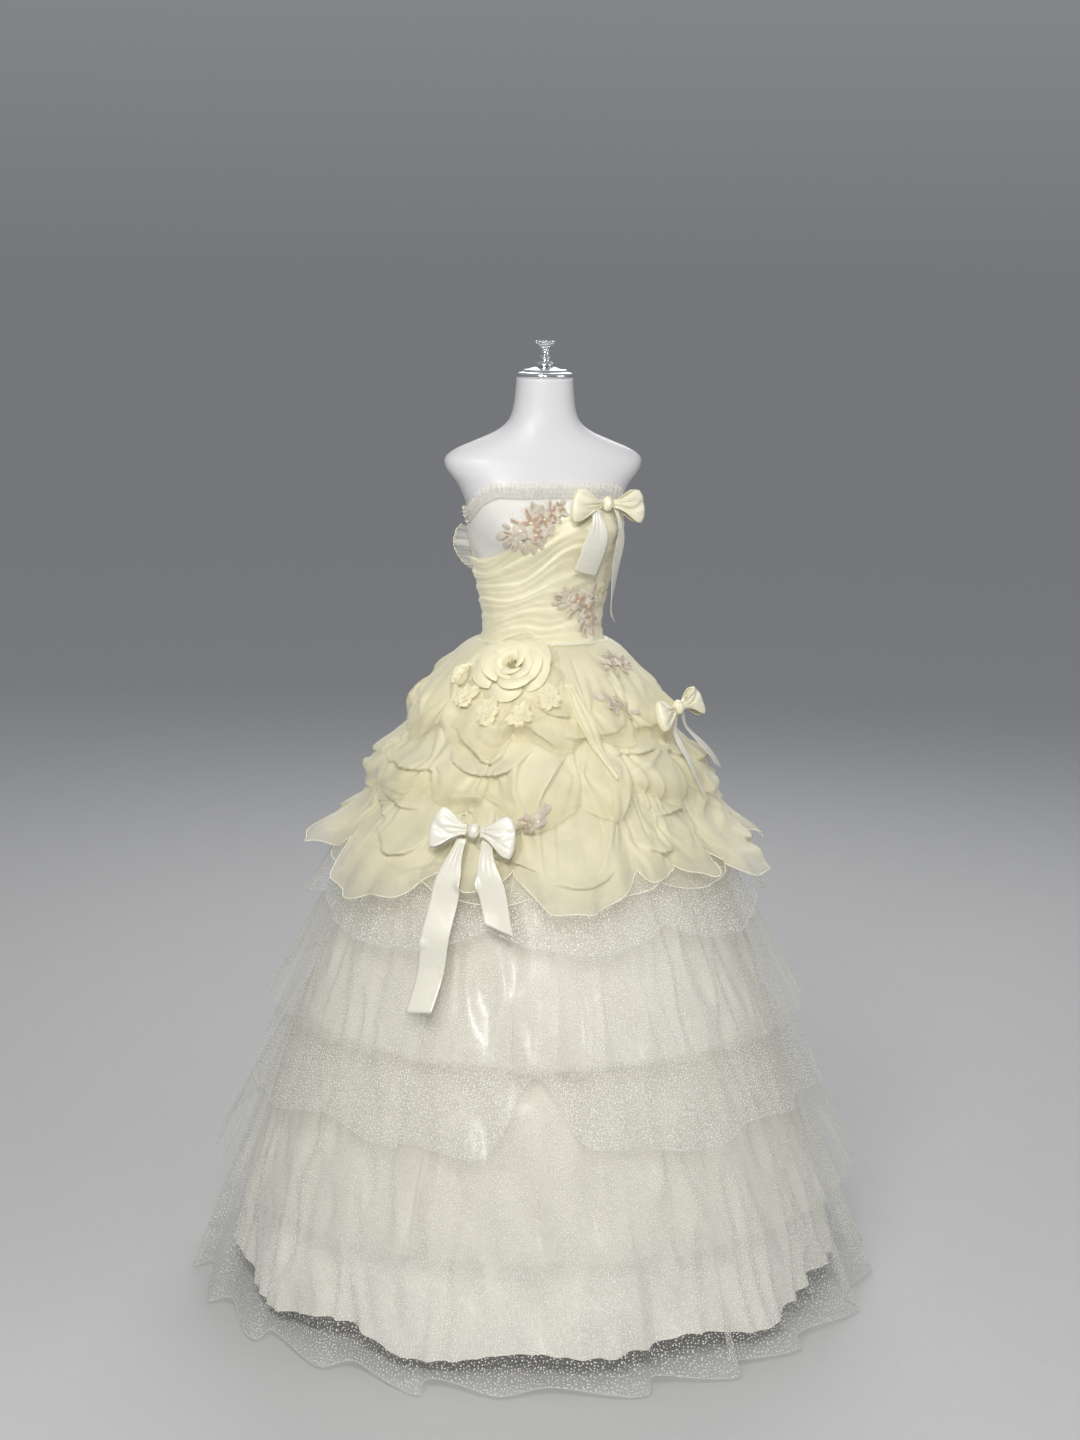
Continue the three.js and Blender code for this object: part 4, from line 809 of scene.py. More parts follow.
# Folds of the overskirt: how far the raised cloth reaches from the fold's lip, its height, the side
# of the line on which it lies (1 is left of the way the points run), and points of bearing and height
FOLDS = (
    (29, 13, 1, ((-57, 1043), (-58, 1007), (-60, 980), (-69, 955))),
    (19, 8, -1, ((-80, 1049), (-75, 1015), (-75, 977))),
    (33, 13, 1, ((-93, 905), (-71, 903), (-61, 903), (-50, 907))),
    (19, 7, -1, ((-88, 946), (-96, 913), (-92, 903))),
    (29, 10, -1, ((-90, 877), (-70, 875), (-62, 866), (-45, 862))),
    (29, 12, 1, ((-74, 819), (-61, 795), (-57, 780), (-52, 785), (-48, 795), (-44, 843))),
    (23, 8, 1, ((-88, 837), (-72, 836), (-64, 814))),
    (23, 12, 1, ((-59, 988), (-47, 962), (-38, 937), (-32, 921), (-27, 941), (-25, 992))),
    (23, 13, 1, ((-53, 948), (-48, 922), (-37, 909), (-27, 910), (-20, 931), (-12, 964))),
    (19, 7, 1, ((-58, 1007), (-49, 1006), (-45, 1017))),
    (23, 9, 1, ((-25, 1004), (-17, 982), (-10, 965), (-4, 941))),
    (29, 10, 1, ((-18, 1017), (-7, 1002), (6, 993))),
    (29, 12, -1, ((1, 946), (-7, 920), (-12, 889), (-14, 848))),
    (22, 9, -1, ((-13, 959), (-21, 929), (-21, 888), (-15, 850))),
    (29, 9, -1, ((-49, 856), (-45, 876), (-37, 882), (-28, 873), (-15, 866))),
    (29, 12, 1, ((15, 902), (10, 845), (5, 794), (0, 752))),
    (23, 8, -1, ((-11, 885), (-13, 846), (-12, 796), (-11, 760))),
    (29, 11, 1, ((15, 935), (28, 935), (39, 937), (48, 952))),
    (22, 9, 1, ((48, 952), (37, 931), (22, 907))),
    (19, 8, -1, ((30, 920), (28, 891), (28, 855), (27, 836))),
    (22, 10, -1, ((34, 924), (34, 885), (33, 854), (31, 811))),
    (19, 8, 1, ((48, 946), (52, 923), (66, 899))),
    (19, 8, -1, ((21, 904), (17, 864), (12, 826))),
    (23, 10, 1, ((27, 836), (33, 840), (40, 844), (48, 831))),
    (23, 12, 1, ((19, 802), (23, 792), (28, 793), (29, 807))),
    (29, 13, 1, ((21, 775), (31, 752), (38, 744), (47, 752), (38, 790))),
    (22, 9, 1, ((66, 889), (59, 851), (47, 822))),
    (23, 8, 1, ((-27, 835), (-23, 792), (-22, 760))),
    (23, 5, 1, ((22, 1070), (32, 1050), (38, 1013))),
    (23, 5, -1, ((48, 1075), (53, 1043), (52, 1007))),
    (26, 7, 1, ((-66, 1078), (-70, 1050), (-66, 1020))),
    (30, 8, -1, ((-44, 1000), (-30, 985), (-14, 992), (-2, 1012))),
    (34, 9, 1, ((-8, 975), (4, 962), (18, 968), (30, 985))),
    (30, 9, -1, ((60, 985), (44, 972), (28, 968))),
    (34, 9, 1, ((-84, 870), (-66, 846), (-52, 842))),
    (30, 8, 1, ((-36, 826), (-28, 800), (-18, 782), (-8, 778))),
    (36, 8, -1, ((-62, 772), (-50, 764), (-38, 776), (-34, 800))),
    (30, 8, 1, ((-12, 770), (-4, 756), (4, 762), (10, 786))),
    (30, 9, -1, ((54, 800), (48, 776), (58, 760), (66, 776))),
    (34, 10, 1, ((72, 850), (60, 824), (52, 790))),
    (34, 9, -1, ((-30, 880), (-26, 850), (-20, 826))),
    (26, 7, 1, ((5, 935), (1, 908), (2, 880))),
)
SIDE_FOLDS = 7  # how many of them, from the first, have a like one on the right side
FOLD_LIP = 2.6
LISTED_DEPTH = 16.0  # the drape depth in the sidebar at which folds are as high as listed


def all_folds():
    """The listed folds, like ones on the right side, and their mirror images behind, no two sets alike."""
    rng = np.random.default_rng(14)
    listed = [(reach, high, side, np.array(line, float)) for reach, high, side, line in FOLDS]
    extra = []
    for reach, high, side, line in listed[:SIDE_FOLDS]:
        extra.append((reach, high * 0.9, -side, line * (-1, 1) + (9 + rng.uniform(-3, 3), rng.uniform(-14, 6))))
    for reach, high, side, line in listed:
        turned = line * (-1, 1) + (180 + rng.uniform(-5, 5), rng.uniform(-14, 14))
        extra.append((reach * rng.uniform(0.85, 1.2), high * rng.uniform(0.7, 1.05), -side, turned))
    return listed + extra


def fold_field(bearing, z):
    """Height of the folds over the cloth: from each line it drops over a short lip on one side, and eases out on
    the other, and it fades towards the line's ends. Where folds meet, the higher one lies on top."""
    bearing, z = np.broadcast_arrays(bearing, z)
    shape = bearing.shape
    turn, high = bearing.ravel(), z.ravel()
    top, rest = np.zeros(turn.size), np.zeros(turn.size)
    across = 60 + read_sections(LINING_SECTIONS, 1, high)
    for reach, height, side, line in all_folds():
        middle = line[:, 0].mean() * DEG
        steps = np.linspace(0, len(line) - 1, 25)
        bend = np.stack([np.interp(steps, np.arange(len(line)), line[:, k]) for k in (0, 1)], -1)
        for _ in range(3):
            bend[1:-1] = (bend[:-2] + 2 * bend[1:-1] + bend[2:]) / 4
        sweep = 60 + read_sections(LINING_SECTIONS, 1, bend[:, 1])
        path = np.stack([(bend[:, 0] * DEG - middle) * sweep, bend[:, 1] * 1.25], -1)
        x, y = wrapped(turn - middle) * across, high * 1.25
        low, far = path.min(0) - reach, path.max(0) + reach
        near = np.nonzero((x > low[0]) & (x < far[0]) & (y > low[1]) & (y < far[1]))[0]
        if not len(near):
            continue
        spot = np.stack([x[near], y[near]], -1)[:, None]
        start, run = path[:-1][None], (path[1:] - path[:-1])[None]
        t = np.clip(((spot - start) * run).sum(-1) / (run**2).sum(-1), 0, 1)
        gap = spot - start - t[..., None] * run
        far_off = np.sqrt((gap**2).sum(-1))
        best = far_off.argmin(1)
        rows = np.arange(len(near))
        d = far_off[rows, best]
        cross = run[0, best, 0] * gap[rows, best, 1] - run[0, best, 1] * gap[rows, best, 0]
        along = (best + t[rows, best]) / (len(path) - 1)
        fade = smooth(np.minimum(along, 1 - along) / 0.42)
        up = np.where(cross * side > 0, 1 - smooth(d / reach), 1 - smooth(d / FOLD_LIP))
        height = height * up * fade
        rest[near] += np.minimum(top[near], height)
        top[near] = np.maximum(top[near], height)
    return (1.35 * top + 0.35 * rest).reshape(shape)


# ---------------------------------------------------------------- bodice


def neckline_z(bearing):
    """Top edge of the bodice: level across the front, dipping under the arms and lower behind."""
    turn = np.abs(wrapped(bearing))
    to_side, to_back = smooth((turn - 48 * DEG) / (42 * DEG)), smooth((turn - 100 * DEG) / (60 * DEG))
    drop = (NECKLINE["front"] - NECKLINE["side"]) * to_side
    return NECKLINE["front"] - drop - (NECKLINE["side"] - NECKLINE["back"]) * to_back


def bodice_radius(bearing, z):
    """Inner face of the bodice, a little off the form."""
    return form_radius(bearing, z) + 1.8 + 1.2 * np.clip((z - 1290) / 40, 0, 1)


# ---------------------------------------------------------------- frames for bows and the rose


def frame_from(centre, face, pitch, tilt=0.0):
    """Three directions for a trim: across it, up it and out of it, and a function that places points there."""
    f, p, t = face * DEG, pitch * DEG, tilt * DEG
    out = np.array([math.cos(p) * math.sin(f), -math.cos(p) * math.cos(f), math.sin(p)])
    across = np.cross((0, 0, 1), out)
    across /= np.linalg.norm(across)
    up = np.cross(out, across)
    across, up = across * math.cos(t) + up * math.sin(t), up * math.cos(t) - across * math.sin(t)

    def place(s, h, n):
        s, h, n = np.broadcast_arrays(s, h, n)
        return centre + s[..., None] * across + h[..., None] * up + n[..., None] * out

    return place, out


def centre_of(name):
    low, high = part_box(name)
    return np.array((low + high) / 2) / MM


def knot_of(name):
    """Middle of a bow's knot: that of its solid, turned round the axis, raised and moved out a little."""
    spec = BOWS[name]
    x, y, z = centre_of(name + "_knot")
    bearing, radius = math.atan2(x, -y) + spec["aside"] * DEG, math.hypot(x, y)
    _, out = frame_from(np.zeros(3), spec["face"], spec["pitch"])
    return on_axis(bearing, radius, z + spec["above"]) + spec["out"] * out


# ---------------------------------------------------------------- settings in the sidebar


def colour_setting(name, text, value):
    return bpy.props.FloatVectorProperty(name=name, description=text, subtype="COLOR", size=3, min=0.0, max=1.0,
                                         default=value)


def length_setting(name, text, value, low, high):
    return bpy.props.FloatProperty(name=name, description=text, default=value, min=low, max=high, unit="LENGTH")


def share_setting(name, text, value):
    return bpy.props.FloatProperty(name=name, description=text, default=value, min=0.05, max=1.0, subtype="FACTOR")


class GownColours(bpy.types.PropertyGroup):
    """Colours of the gown's cloths and trims."""

    lining: colour_setting("Lining", "Satin underskirt that shows through the nets", (0.88, 0.86, 0.77))
    satin: colour_setting("White satin", "Bodice", (0.80, 0.79, 0.73))
    ribbon: colour_setting("Ribbon", "White ribbon of the lower bow", (0.80, 0.78, 0.67))
    yellow: colour_setting("Yellow satin", "Pale ribbon of the chest and hip bows", (0.89, 0.84, 0.62))
    chiffon: colour_setting("Organza", "Draped overskirt, wrap and rose", (0.98, 0.92, 0.66))
    net: colour_setting("Net", "Tiered net skirts", (0.84, 0.82, 0.75))
    frill: colour_setting("Frill", "Gathered frill at the neckline", (0.95, 0.93, 0.83))
    hem: colour_setting("Rolled hem", "Thread of the rolled edges", (0.96, 0.92, 0.72))
    lace_rose: colour_setting("Lace flowers", "Embroidered petals", (0.70, 0.50, 0.36))
    lace_white: colour_setting("Lace leaves", "Embroidered leaves and outlines", (0.88, 0.79, 0.64))
    gold: colour_setting("Sequins", "Sequins on the lace and frill", (0.90, 0.76, 0.54))
    bead: colour_setting("Beads", "Seed beads", (0.93, 0.86, 0.70))
    form: colour_setting("Form", "Skin of the dress form", (0.66, 0.655, 0.665))
    floor: colour_setting("Floor", "Studio floor", (0.52, 0.52, 0.52))


class GownSizes(bpy.types.PropertyGroup):
    """Sizes of the gown's finer form."""

    dot_pitch: length_setting("Glitter pitch", "Mean distance between glitter dots", 0.005, 0.002, 0.03)
    dot_size: length_setting("Glitter dot", "Width of the largest glitter dot", 0.0025, 0.0005, 0.01)
    net_cover: share_setting("Net cover", "Share of the view that plain net hides", 0.26)
    chiffon_cover: share_setting("Organza cover", "Share of the view that organza hides", 0.76)
    fold_depth: length_setting("Drape depth", "Depth of the overskirt's tucks", 0.016, 0.0, 0.04)
    hem_flute: length_setting("Hem flutes", "Depth of the fluted overskirt hems", 0.012, 0.0, 0.03)
    camera_distance: length_setting("Camera distance", "From the gown's axis", 4.0, 1.0, 12.0)
    camera_height: length_setting("Camera height", "Above the floor", 1.71, 0.1, 4.0)


# ---------------------------------------------------------------- operators, one for each group of pieces


class GOWN_OT_form(bpy.types.Operator):
    """Smooth torso of the dress form, with its neck cap, crown and stand"""

    bl_idname = "gown.form"
    bl_label = "Dress Form and Stand"

    def execute(self, context):
        self.torso()
        cap_z = NECK_TOP_Z + SEAM_GAP
        stem_z = cap_z + CAP_PROFILE[-1][1] + SEAM_GAP
        closed_piece("cap", lathe(CAP_PROFILE, cap_z), "chrome", "chrome", "neck_cap")
        closed_piece("stem", lathe(STEM_PROFILE, stem_z, 64), "chrome", "chrome", "finial_stem")
        self.crown(stem_z + STEM_PROFILE[-1][1] + SEAM_GAP)
        radius, rim, height, boss = BASE["radius"], BASE["rim"], BASE["height"], BASE["boss"]
        plate = ((0, 0), (radius - 3, 0), (radius - 0.9, 0.9), (radius, 3), (radius, rim - 2), (radius - 1, rim - 0.4),
                 (radius - 3, rim + 0.6), (radius - 12, rim + 4), (boss + 10, height - 3.2), (boss + 5, height - 2.4),
                 (boss + 2, height - 0.6), (boss, height), (0, height))
        closed_piece("base", lathe(plate, 0, 128), "steel", "steel", "stand_base")
        length = POLE["top"] - POLE["foot"]
        pole = ((0, 0), (POLE["radius"], 0), (POLE["radius"], length - 30), (POLE["flange"] - 1, length - 13),
                (POLE["flange"], length - 12), (POLE["flange"], length), (0, length))
        closed_piece("pole", lathe(pole, POLE["foot"], 48), "steel", "steel", "stand_pole")
        return {"FINISHED"}

    def torso(self):
        """The torso's own section at every height, closed by flat discs at its foot and at the neck."""
        b = round_grid(112, 1)[0]
        disc = np.linspace(0.02, 1, 6)[None] ** 0.5
        low = on_axis(b, form_radius(b, FORM_FOOT_Z + 2) * disc, FORM_FOOT_Z)
        z = np.linspace(FORM_FOOT_Z + 2.5, NECK_TOP_Z, 130)[None]
        side = on_axis(b, form_radius(b, z), z)
        shut = on_axis(b, form_radius(b, NECK_TOP_Z) * disc[:, ::-1][:, 1:], NECK_TOP_Z)
        closed_piece("torso", np.concatenate([low, side, shut], 1), "form", "form", "form_torso")
        cover.add(side)

    def crown(self, foot):
        """A flared cup: its profile turned, with its rim raised in points by a cosine, and ribs below them."""
        turn = round_grid(72, 1)[0]
        radius, height, share = CROWN_PROFILE.T[:, None]
        peak = 1.6 * (np.abs(np.cos(CROWN_POINTS / 2 * turn)) ** 0.7 - 1) * 1.6
        ribs = 1 + 0.06 * (np.abs(np.cos(CROWN_POINTS * 1.5 * turn)) - 0.5) * smooth(height / 8)
        crown = on_axis(turn, radius * ribs, foot + height + peak * share)
        finial = closed_piece("crown", crown, "crystal", "crystal", "finial_crown")
        finial.data.polygons.foreach_set("use_smooth", np.zeros(len(finial.data.polygons), bool))


class GOWN_OT_skirts(bpy.types.Operator):
    """Satin lining, and the pleated and glittering net skirts over it"""

    bl_idname = "gown.skirts"
    bl_label = "Lining and Net Skirts"

    def execute(self, context):
        self.lining()
        self.net("floor_net_skirt", "floor_net", 700, 46, "lining_skirt")
        self.net("lower_pleated_tier", "lower_pleated", 1260, 18, "floor_net")
        self.net("middle_net_skirt", "middle_net", 640, 44, "lining_skirt", self.parting)
        self.net("upper_pleated_tier", "upper_pleated", 1260, 20, "middle_net")
        return {"FINISHED"}

    def lining(self):
        """The underskirt: its sections, less creases that are ridges where sums of cosines cross zero, with a hem
        that swings in and out and up and down."""
        b, v = round_grid(420, 70)
        wave = 0.5 * (1 - np.cos(LINING_HEM["waves"] * b))
        low = smooth((v - 0.75) / 0.25)
        top = WAIST_Z - 1.6
        z = top + (LINING_HEM["z"] - top) * v + LINING_HEM["drop"] * wave * low
        crease = 1.1 * waves(5, (14, 21, 27, 34), b, 5 * v, 1.6) + 0.4 * waves(6, (43, 52), b, 9 * v, 2.0)
        crease = crease + 0.9 * cloud(7, b * 380, z, 170)
        inset = LINING_CREASE * smooth(v * 1.2) * np.clip(np.sqrt(crease**2 + 0.01) / 1.3, 0, 1)
        z = z + low * LINING_HEM["lift"] * np.clip(0.4 + waves(8, (4, 7, 9), b), 0, 1.4)
        radius = lining_radius(b, z) - LINING_HEM["swell"] * wave * low
        cloth("lining", on_axis(b, radius - inset, z), "lining", "lining_skirt", "bodice_front", "hung")
        cover.add(on_axis(b, radius, z))

    def parting(self, bearing):
        """How far the middle net's hem is raised: a notch at the front, and an uneven edge."""
        away = np.abs(wrapped(bearing - NOTCH["bearing"])) / NOTCH["half"]
        return NOTCH["rise"] * smooth(1 - away) + 9 * np.cos(7 * bearing + 0.4) + 5 * np.cos(12 * bearing)

    def net(self, piece, name, columns, rows, rests_on, rise=None):
        """One net, laid over what is beneath it, and with a fine edge where it glitters."""
        b, z, radius = net_points(name, columns, rows, rise)
        points = on_axis(b, laid_over(b, z, radius), z)
        plain = name.endswith("pleated")
        edge = [] if plain else [rolled_hem(name + "_edge", points[:, -1], True)]
        cloth(piece, points, "plain" if plain else "glitter", name, rests_on, parts=edge)
        cover.add(points)


class GOWN_OT_overskirt(bpy.types.Operator):
    """Glittering peplum and the three picked-up rows of the organza overskirt"""

    bl_idname = "gown.overskirt"
    bl_label = "Draped Overskirt"

    def execute(self, context):
        b, v, z, radius, *_ = row_points("net_peplum", 600, 36)
        radius = radius + 6 * v * waves(11, (17, 26, 39), b, 2 * v) + 2 * v * waves(12, (52, 71), b, 3 * v)
        peplum = on_axis(b, laid_over(b, z, radius), z)
        edge = rolled_hem("peplum_edge", peplum[:, -1], True)
        cloth("glitter_peplum", peplum, "glitter", "net_peplum", "lining_skirt", parts=[edge])
        cover.add(peplum)
        self.flounce()
        self.row("overskirt_hem_row", 720, 64)
        self.row("overskirt_middle_row", 700, 58)
        self.row("overskirt_waist_row", 660, 54)
        return {"FINISHED"}

    def row(self, name, columns, rows):
        """One row: its swags, the listed folds and the gathers. The two upper rows roll under at the hem,
        and the lowest ends in soft flutes with a rolled edge."""
        sizes = bpy.context.scene.gown_sizes
        b, v, z, radius, share, size, i, rng = row_points(name, columns, rows)
        lifted = fold_field(b, z) * smooth(v * 3) * (sizes.fold_depth / MM / LISTED_DEPTH)
        radius = radius - 7 * smooth(v * 2) + lifted + gathers(b, v, share, size, i, rng, len(ROWS[name]["ups"]))
        radius = radius + (3.0 * cloud(57, b * 330, z * 0.7, 64) + 5.0 * cloud(58, b * 330, z, 125)) * smooth(v * 3)
        for side, level, out in BULGES:
            spot = (wrapped(b - side * DEG) / DEG / BULGE["width"]) ** 2 + ((z - level) / BULGE["height"]) ** 2
            radius = radius + out * np.exp(-spot) * smooth(v * 3)
        lowest = name == "overskirt_hem_row"
        if lowest:
            flute = sizes.hem_flute / MM * smooth((v - 0.5) / 0.5) ** 1.4
            radius = radius + flute * waves(77, (17, 25, 36), b)
            b = b + 0.022 * smooth((v - 0.55) / 0.45) ** 2 * waves(79, (23, 31, 40), b)
            for side, width, out, up in WINGS:
                lobe = np.exp(-((wrapped(b - side * DEG) / DEG / width) ** 2)) * smooth((v - 0.55) / 0.45)
                radius, z = radius + out * lobe, z + up * lobe
            z = z + 0.35 * flute * waves(78, (19, 29), b)
        else:
            curl = np.clip((v - 0.7) / 0.3, 0, 1)
            under = 9 + 24 * np.clip(0.5 + 0.9 * waves(len(name) + 3, (3, 5, 8), b), 0, 1)
            radius, z = radius - under * curl**2, z + 3 * curl**3
        points = on_axis(b, laid_over(b, z, radius, 1.2), z)
        edge = [rolled_hem(name + "_edge", points[:, -1])] if lowest else []
        cloth(name + "_organza", points, "chiffon", name, "lining_skirt", parts=edge)
        cover.add(points)

    def flounce(self):
        """A sheer flounce under the lowest row: lobes between its own gathering points, fluted at the hem."""
        b, v = round_grid(540, 30)
        share, size, _ = swag_share(FLOUNCE["ups"], b)
        belly = np.sin(np.pi * np.clip(share, 0, 1)) ** 0.7
        seam = FLOUNCE["seam"]
        z = seam + (FLOUNCE["hem_z"] + 26 * (0.55 - belly * np.clip(size, 0.5, 1.3)) - seam) * v
        start = cover.at(b, seam + 0 * b) + 1.5
        radius = start + (FLOUNCE["radius"] - start) * v**1.1 + 8 * belly * smooth(v)
        radius = radius + 8 * v**1.6 * waves(FLOUNCE["seed"], (18, 27, 38), b)
        points = on_axis(b, laid_over(b, z, radius, 1.0), z)
        cloth("under_flounce", points, "sheer", None, "net_peplum",
              parts=[rolled_hem("under_flounce_edge", points[:, -1])])
        cover.add(points)


class GOWN_OT_bodice(bpy.types.Operator):
    """Satin bodice, its wrapped and pleated organza, the neckline frill and the underarm ruffle"""

    bl_idname = "gown.bodice"
    bl_label = "Bodice and Frills"

    def execute(self, context):
        self.panel("front_panel", -SIDE_SEAM, SIDE_SEAM, 130, "satin", "bodice_front")
        self.panel("back_panel_right", SIDE_SEAM, np.pi, 64, "drape", "bodice_back_right")
        self.panel("back_panel_left", np.pi, TURN - SIDE_SEAM, 64, "drape", "bodice_back_left")
        self.drape()
        self.frill("front_frill", -SIDE_SEAM, SIDE_SEAM, "neck_frill_front", 21)
        self.frill("back_frill", SIDE_SEAM, TURN - SIDE_SEAM, "neck_frill_back", 22)
        self.ruffle()
        return {"FINISHED"}

    def panel(self, name, start, end, columns, kind, solid):
        """A stretched panel from the waist to the neckline, drawn into slight hollows between its edges."""
        b, v = span_grid(start + SEAM_TURN, end - SEAM_TURN, columns, 56)
        foot = WAIST_Z - 3.0
        z = foot + (neckline_z(b) - foot) * v
        pull = 1.7 * cloud(len(name), b * 120, z * 1.4, 52) * smooth(v * 5) * smooth((1 - v) * 6)
        radius = bodice_radius(b, z) + SATIN_WALL - 0.6 * smooth((v - 0.985) / 0.015) + 0.4 * pull - 0.4
        radius = np.where(z < WAIST_Z + 3, np.maximum(radius, cover.at(b, z) + 0.4), radius)
        points = on_axis(b, radius, z)
        cloth(name, points, kind, solid, "form_torso", "stretched", False, wall=1.1)
        cover.add(points, False)

    def drape(self):
        """Pleats follow lines from the waist, level there, to a top edge that climbs across the front."""
        b, v = span_grid(-SIDE_SEAM + SEAM_TURN, SIDE_SEAM - SEAM_TURN, 220, 112)
        u = (b + SIDE_SEAM) / (2 * SIDE_SEAM)
        climb = smooth((u - 0.1) / 0.62)
        top = np.minimum(neckline_z(b) - 3, DRAPE["left_top"] + (DRAPE["right_top"] - DRAPE["left_top"]) * climb)
        foot = WAIST_Z - 4.0
        z = foot + (top - foot) * v
        wander = 0.05 * np.cos(3.1 * u + 2.0 * v) + 0.035 * np.cos(9 * u + 5 * v) + 0.02 * np.cos(17 * u - 9 * v)
        x = DRAPE["pleats"] * (v + wander)
        ridge = DRAPE["depth"] * (0.35 + 0.65 * v) * tuck(x, 0.16) * (0.8 + 0.3 * np.cos(5 * u + 9 * np.floor(x)))
        extra = 0.9 * tuck(2.3 * x + 0.3 * np.cos(8 * u), 0.3) + 0.5 * cloud(31, b * 110, z * 2.2, 40)
        face = bodice_radius(b, z) + SATIN_WALL + DRAPE["lift"] + DRAPE["wall"] + 0.4
        points = on_axis(b, np.maximum(face + ridge + extra, cover.at(b, z) + 0.8), z)
        cloth("wrapped_organza", points, "drape", "bodice_drape", "bodice_front", "draped", False)
        cover.add(points, False)

    def frill(self, name, start, end, solid, seed):
        """A gathered band that stands on the neckline: close waves that open towards its free edge, and beads."""
        b, v = span_grid(start + SEAM_TURN, end - SEAM_TURN, FRILL["columns"], 12)
        edge = neckline_z(b)
        foot = bodice_radius(b, edge) + 1.2
        head = np.maximum(foot, form_radius(b, edge + FRILL["height"])) + 3.6
        count = int((end - start) / np.pi * FRILL["waves"])
        ripple = np.cos(count * TURN * (b - start) / (end - start) + 1.6 * waves(seed, (9, 17, 26), b))
        z = edge + SEAM_GAP + (FRILL["height"] - 2 + 1.6 * waves(seed + 1, (60, 97), b)) * v
        radius = foot + (head - foot) * v**0.8 + 2.6 * v * (1 + ripple) * 0.5 + 1.2 * np.sin(np.pi * v)
        points = on_axis(b, radius, z)
        spots = np.linspace(3, FRILL["columns"] - 4, FRILL["beads"]).astype(int)
        rng = np.random.default_rng(seed)
        centres = points[spots[:, None], np.array([FRILL["bead_rows"]])].reshape(-1, 3)
        centres = centres * (1 + 1.1 / np.linalg.norm(centres[:, :2], axis=1, keepdims=True) * np.array([[1, 1, 0]]))
        radii = rng.uniform(0.55, 1.0, len(centres))
        sewn = beads(name + "_beads", centres, radii, "frill", marks=(rng.random(len(centres)) < 0.35).astype(int))
        cloth(name, points, "frill", solid, "bodice_front", "gathered", False, [sewn])
        cover.add(points, False)

    def ruffle(self):
        """The underarm ruffle: sewn down the side along one edge, its free edge thrown into waves."""
        v, w = span_grid(0, 1, 160, 16)
        spec = SIDE_RUFFLE
        z = spec["top"] - spec["length"] * v
        foot = bodice_radius(spec["bearing"], z) + SATIN_WALL + 0.6
        reach = spec["width"] * (0.30 + 0.62 * np.sin(np.pi * v) ** 0.8)
        wave = spec["depth"] * np.sin(spec["waves"] * TURN * v) + 3.0 * np.sin(11 * TURN * v + 1)
        side = on_axis(spec["bearing"] + np.pi / 2, 1.0, 0.0)
        points = on_axis(spec["bearing"], foot + reach * w, z + 4 * w) + side * (wave * w**1.2 + 0.6)[..., None]
        centres = points[::4, -1]
        sewn = beads("ruffle_beads", centres, 1.1, "frill", marks=(np.arange(len(centres)) % 3 == 0).astype(int))
        cloth("underarm_ruffle", points, "frill", "side_ruffle", "bodice_front", "gathered", False, [sewn],
              outward=side)


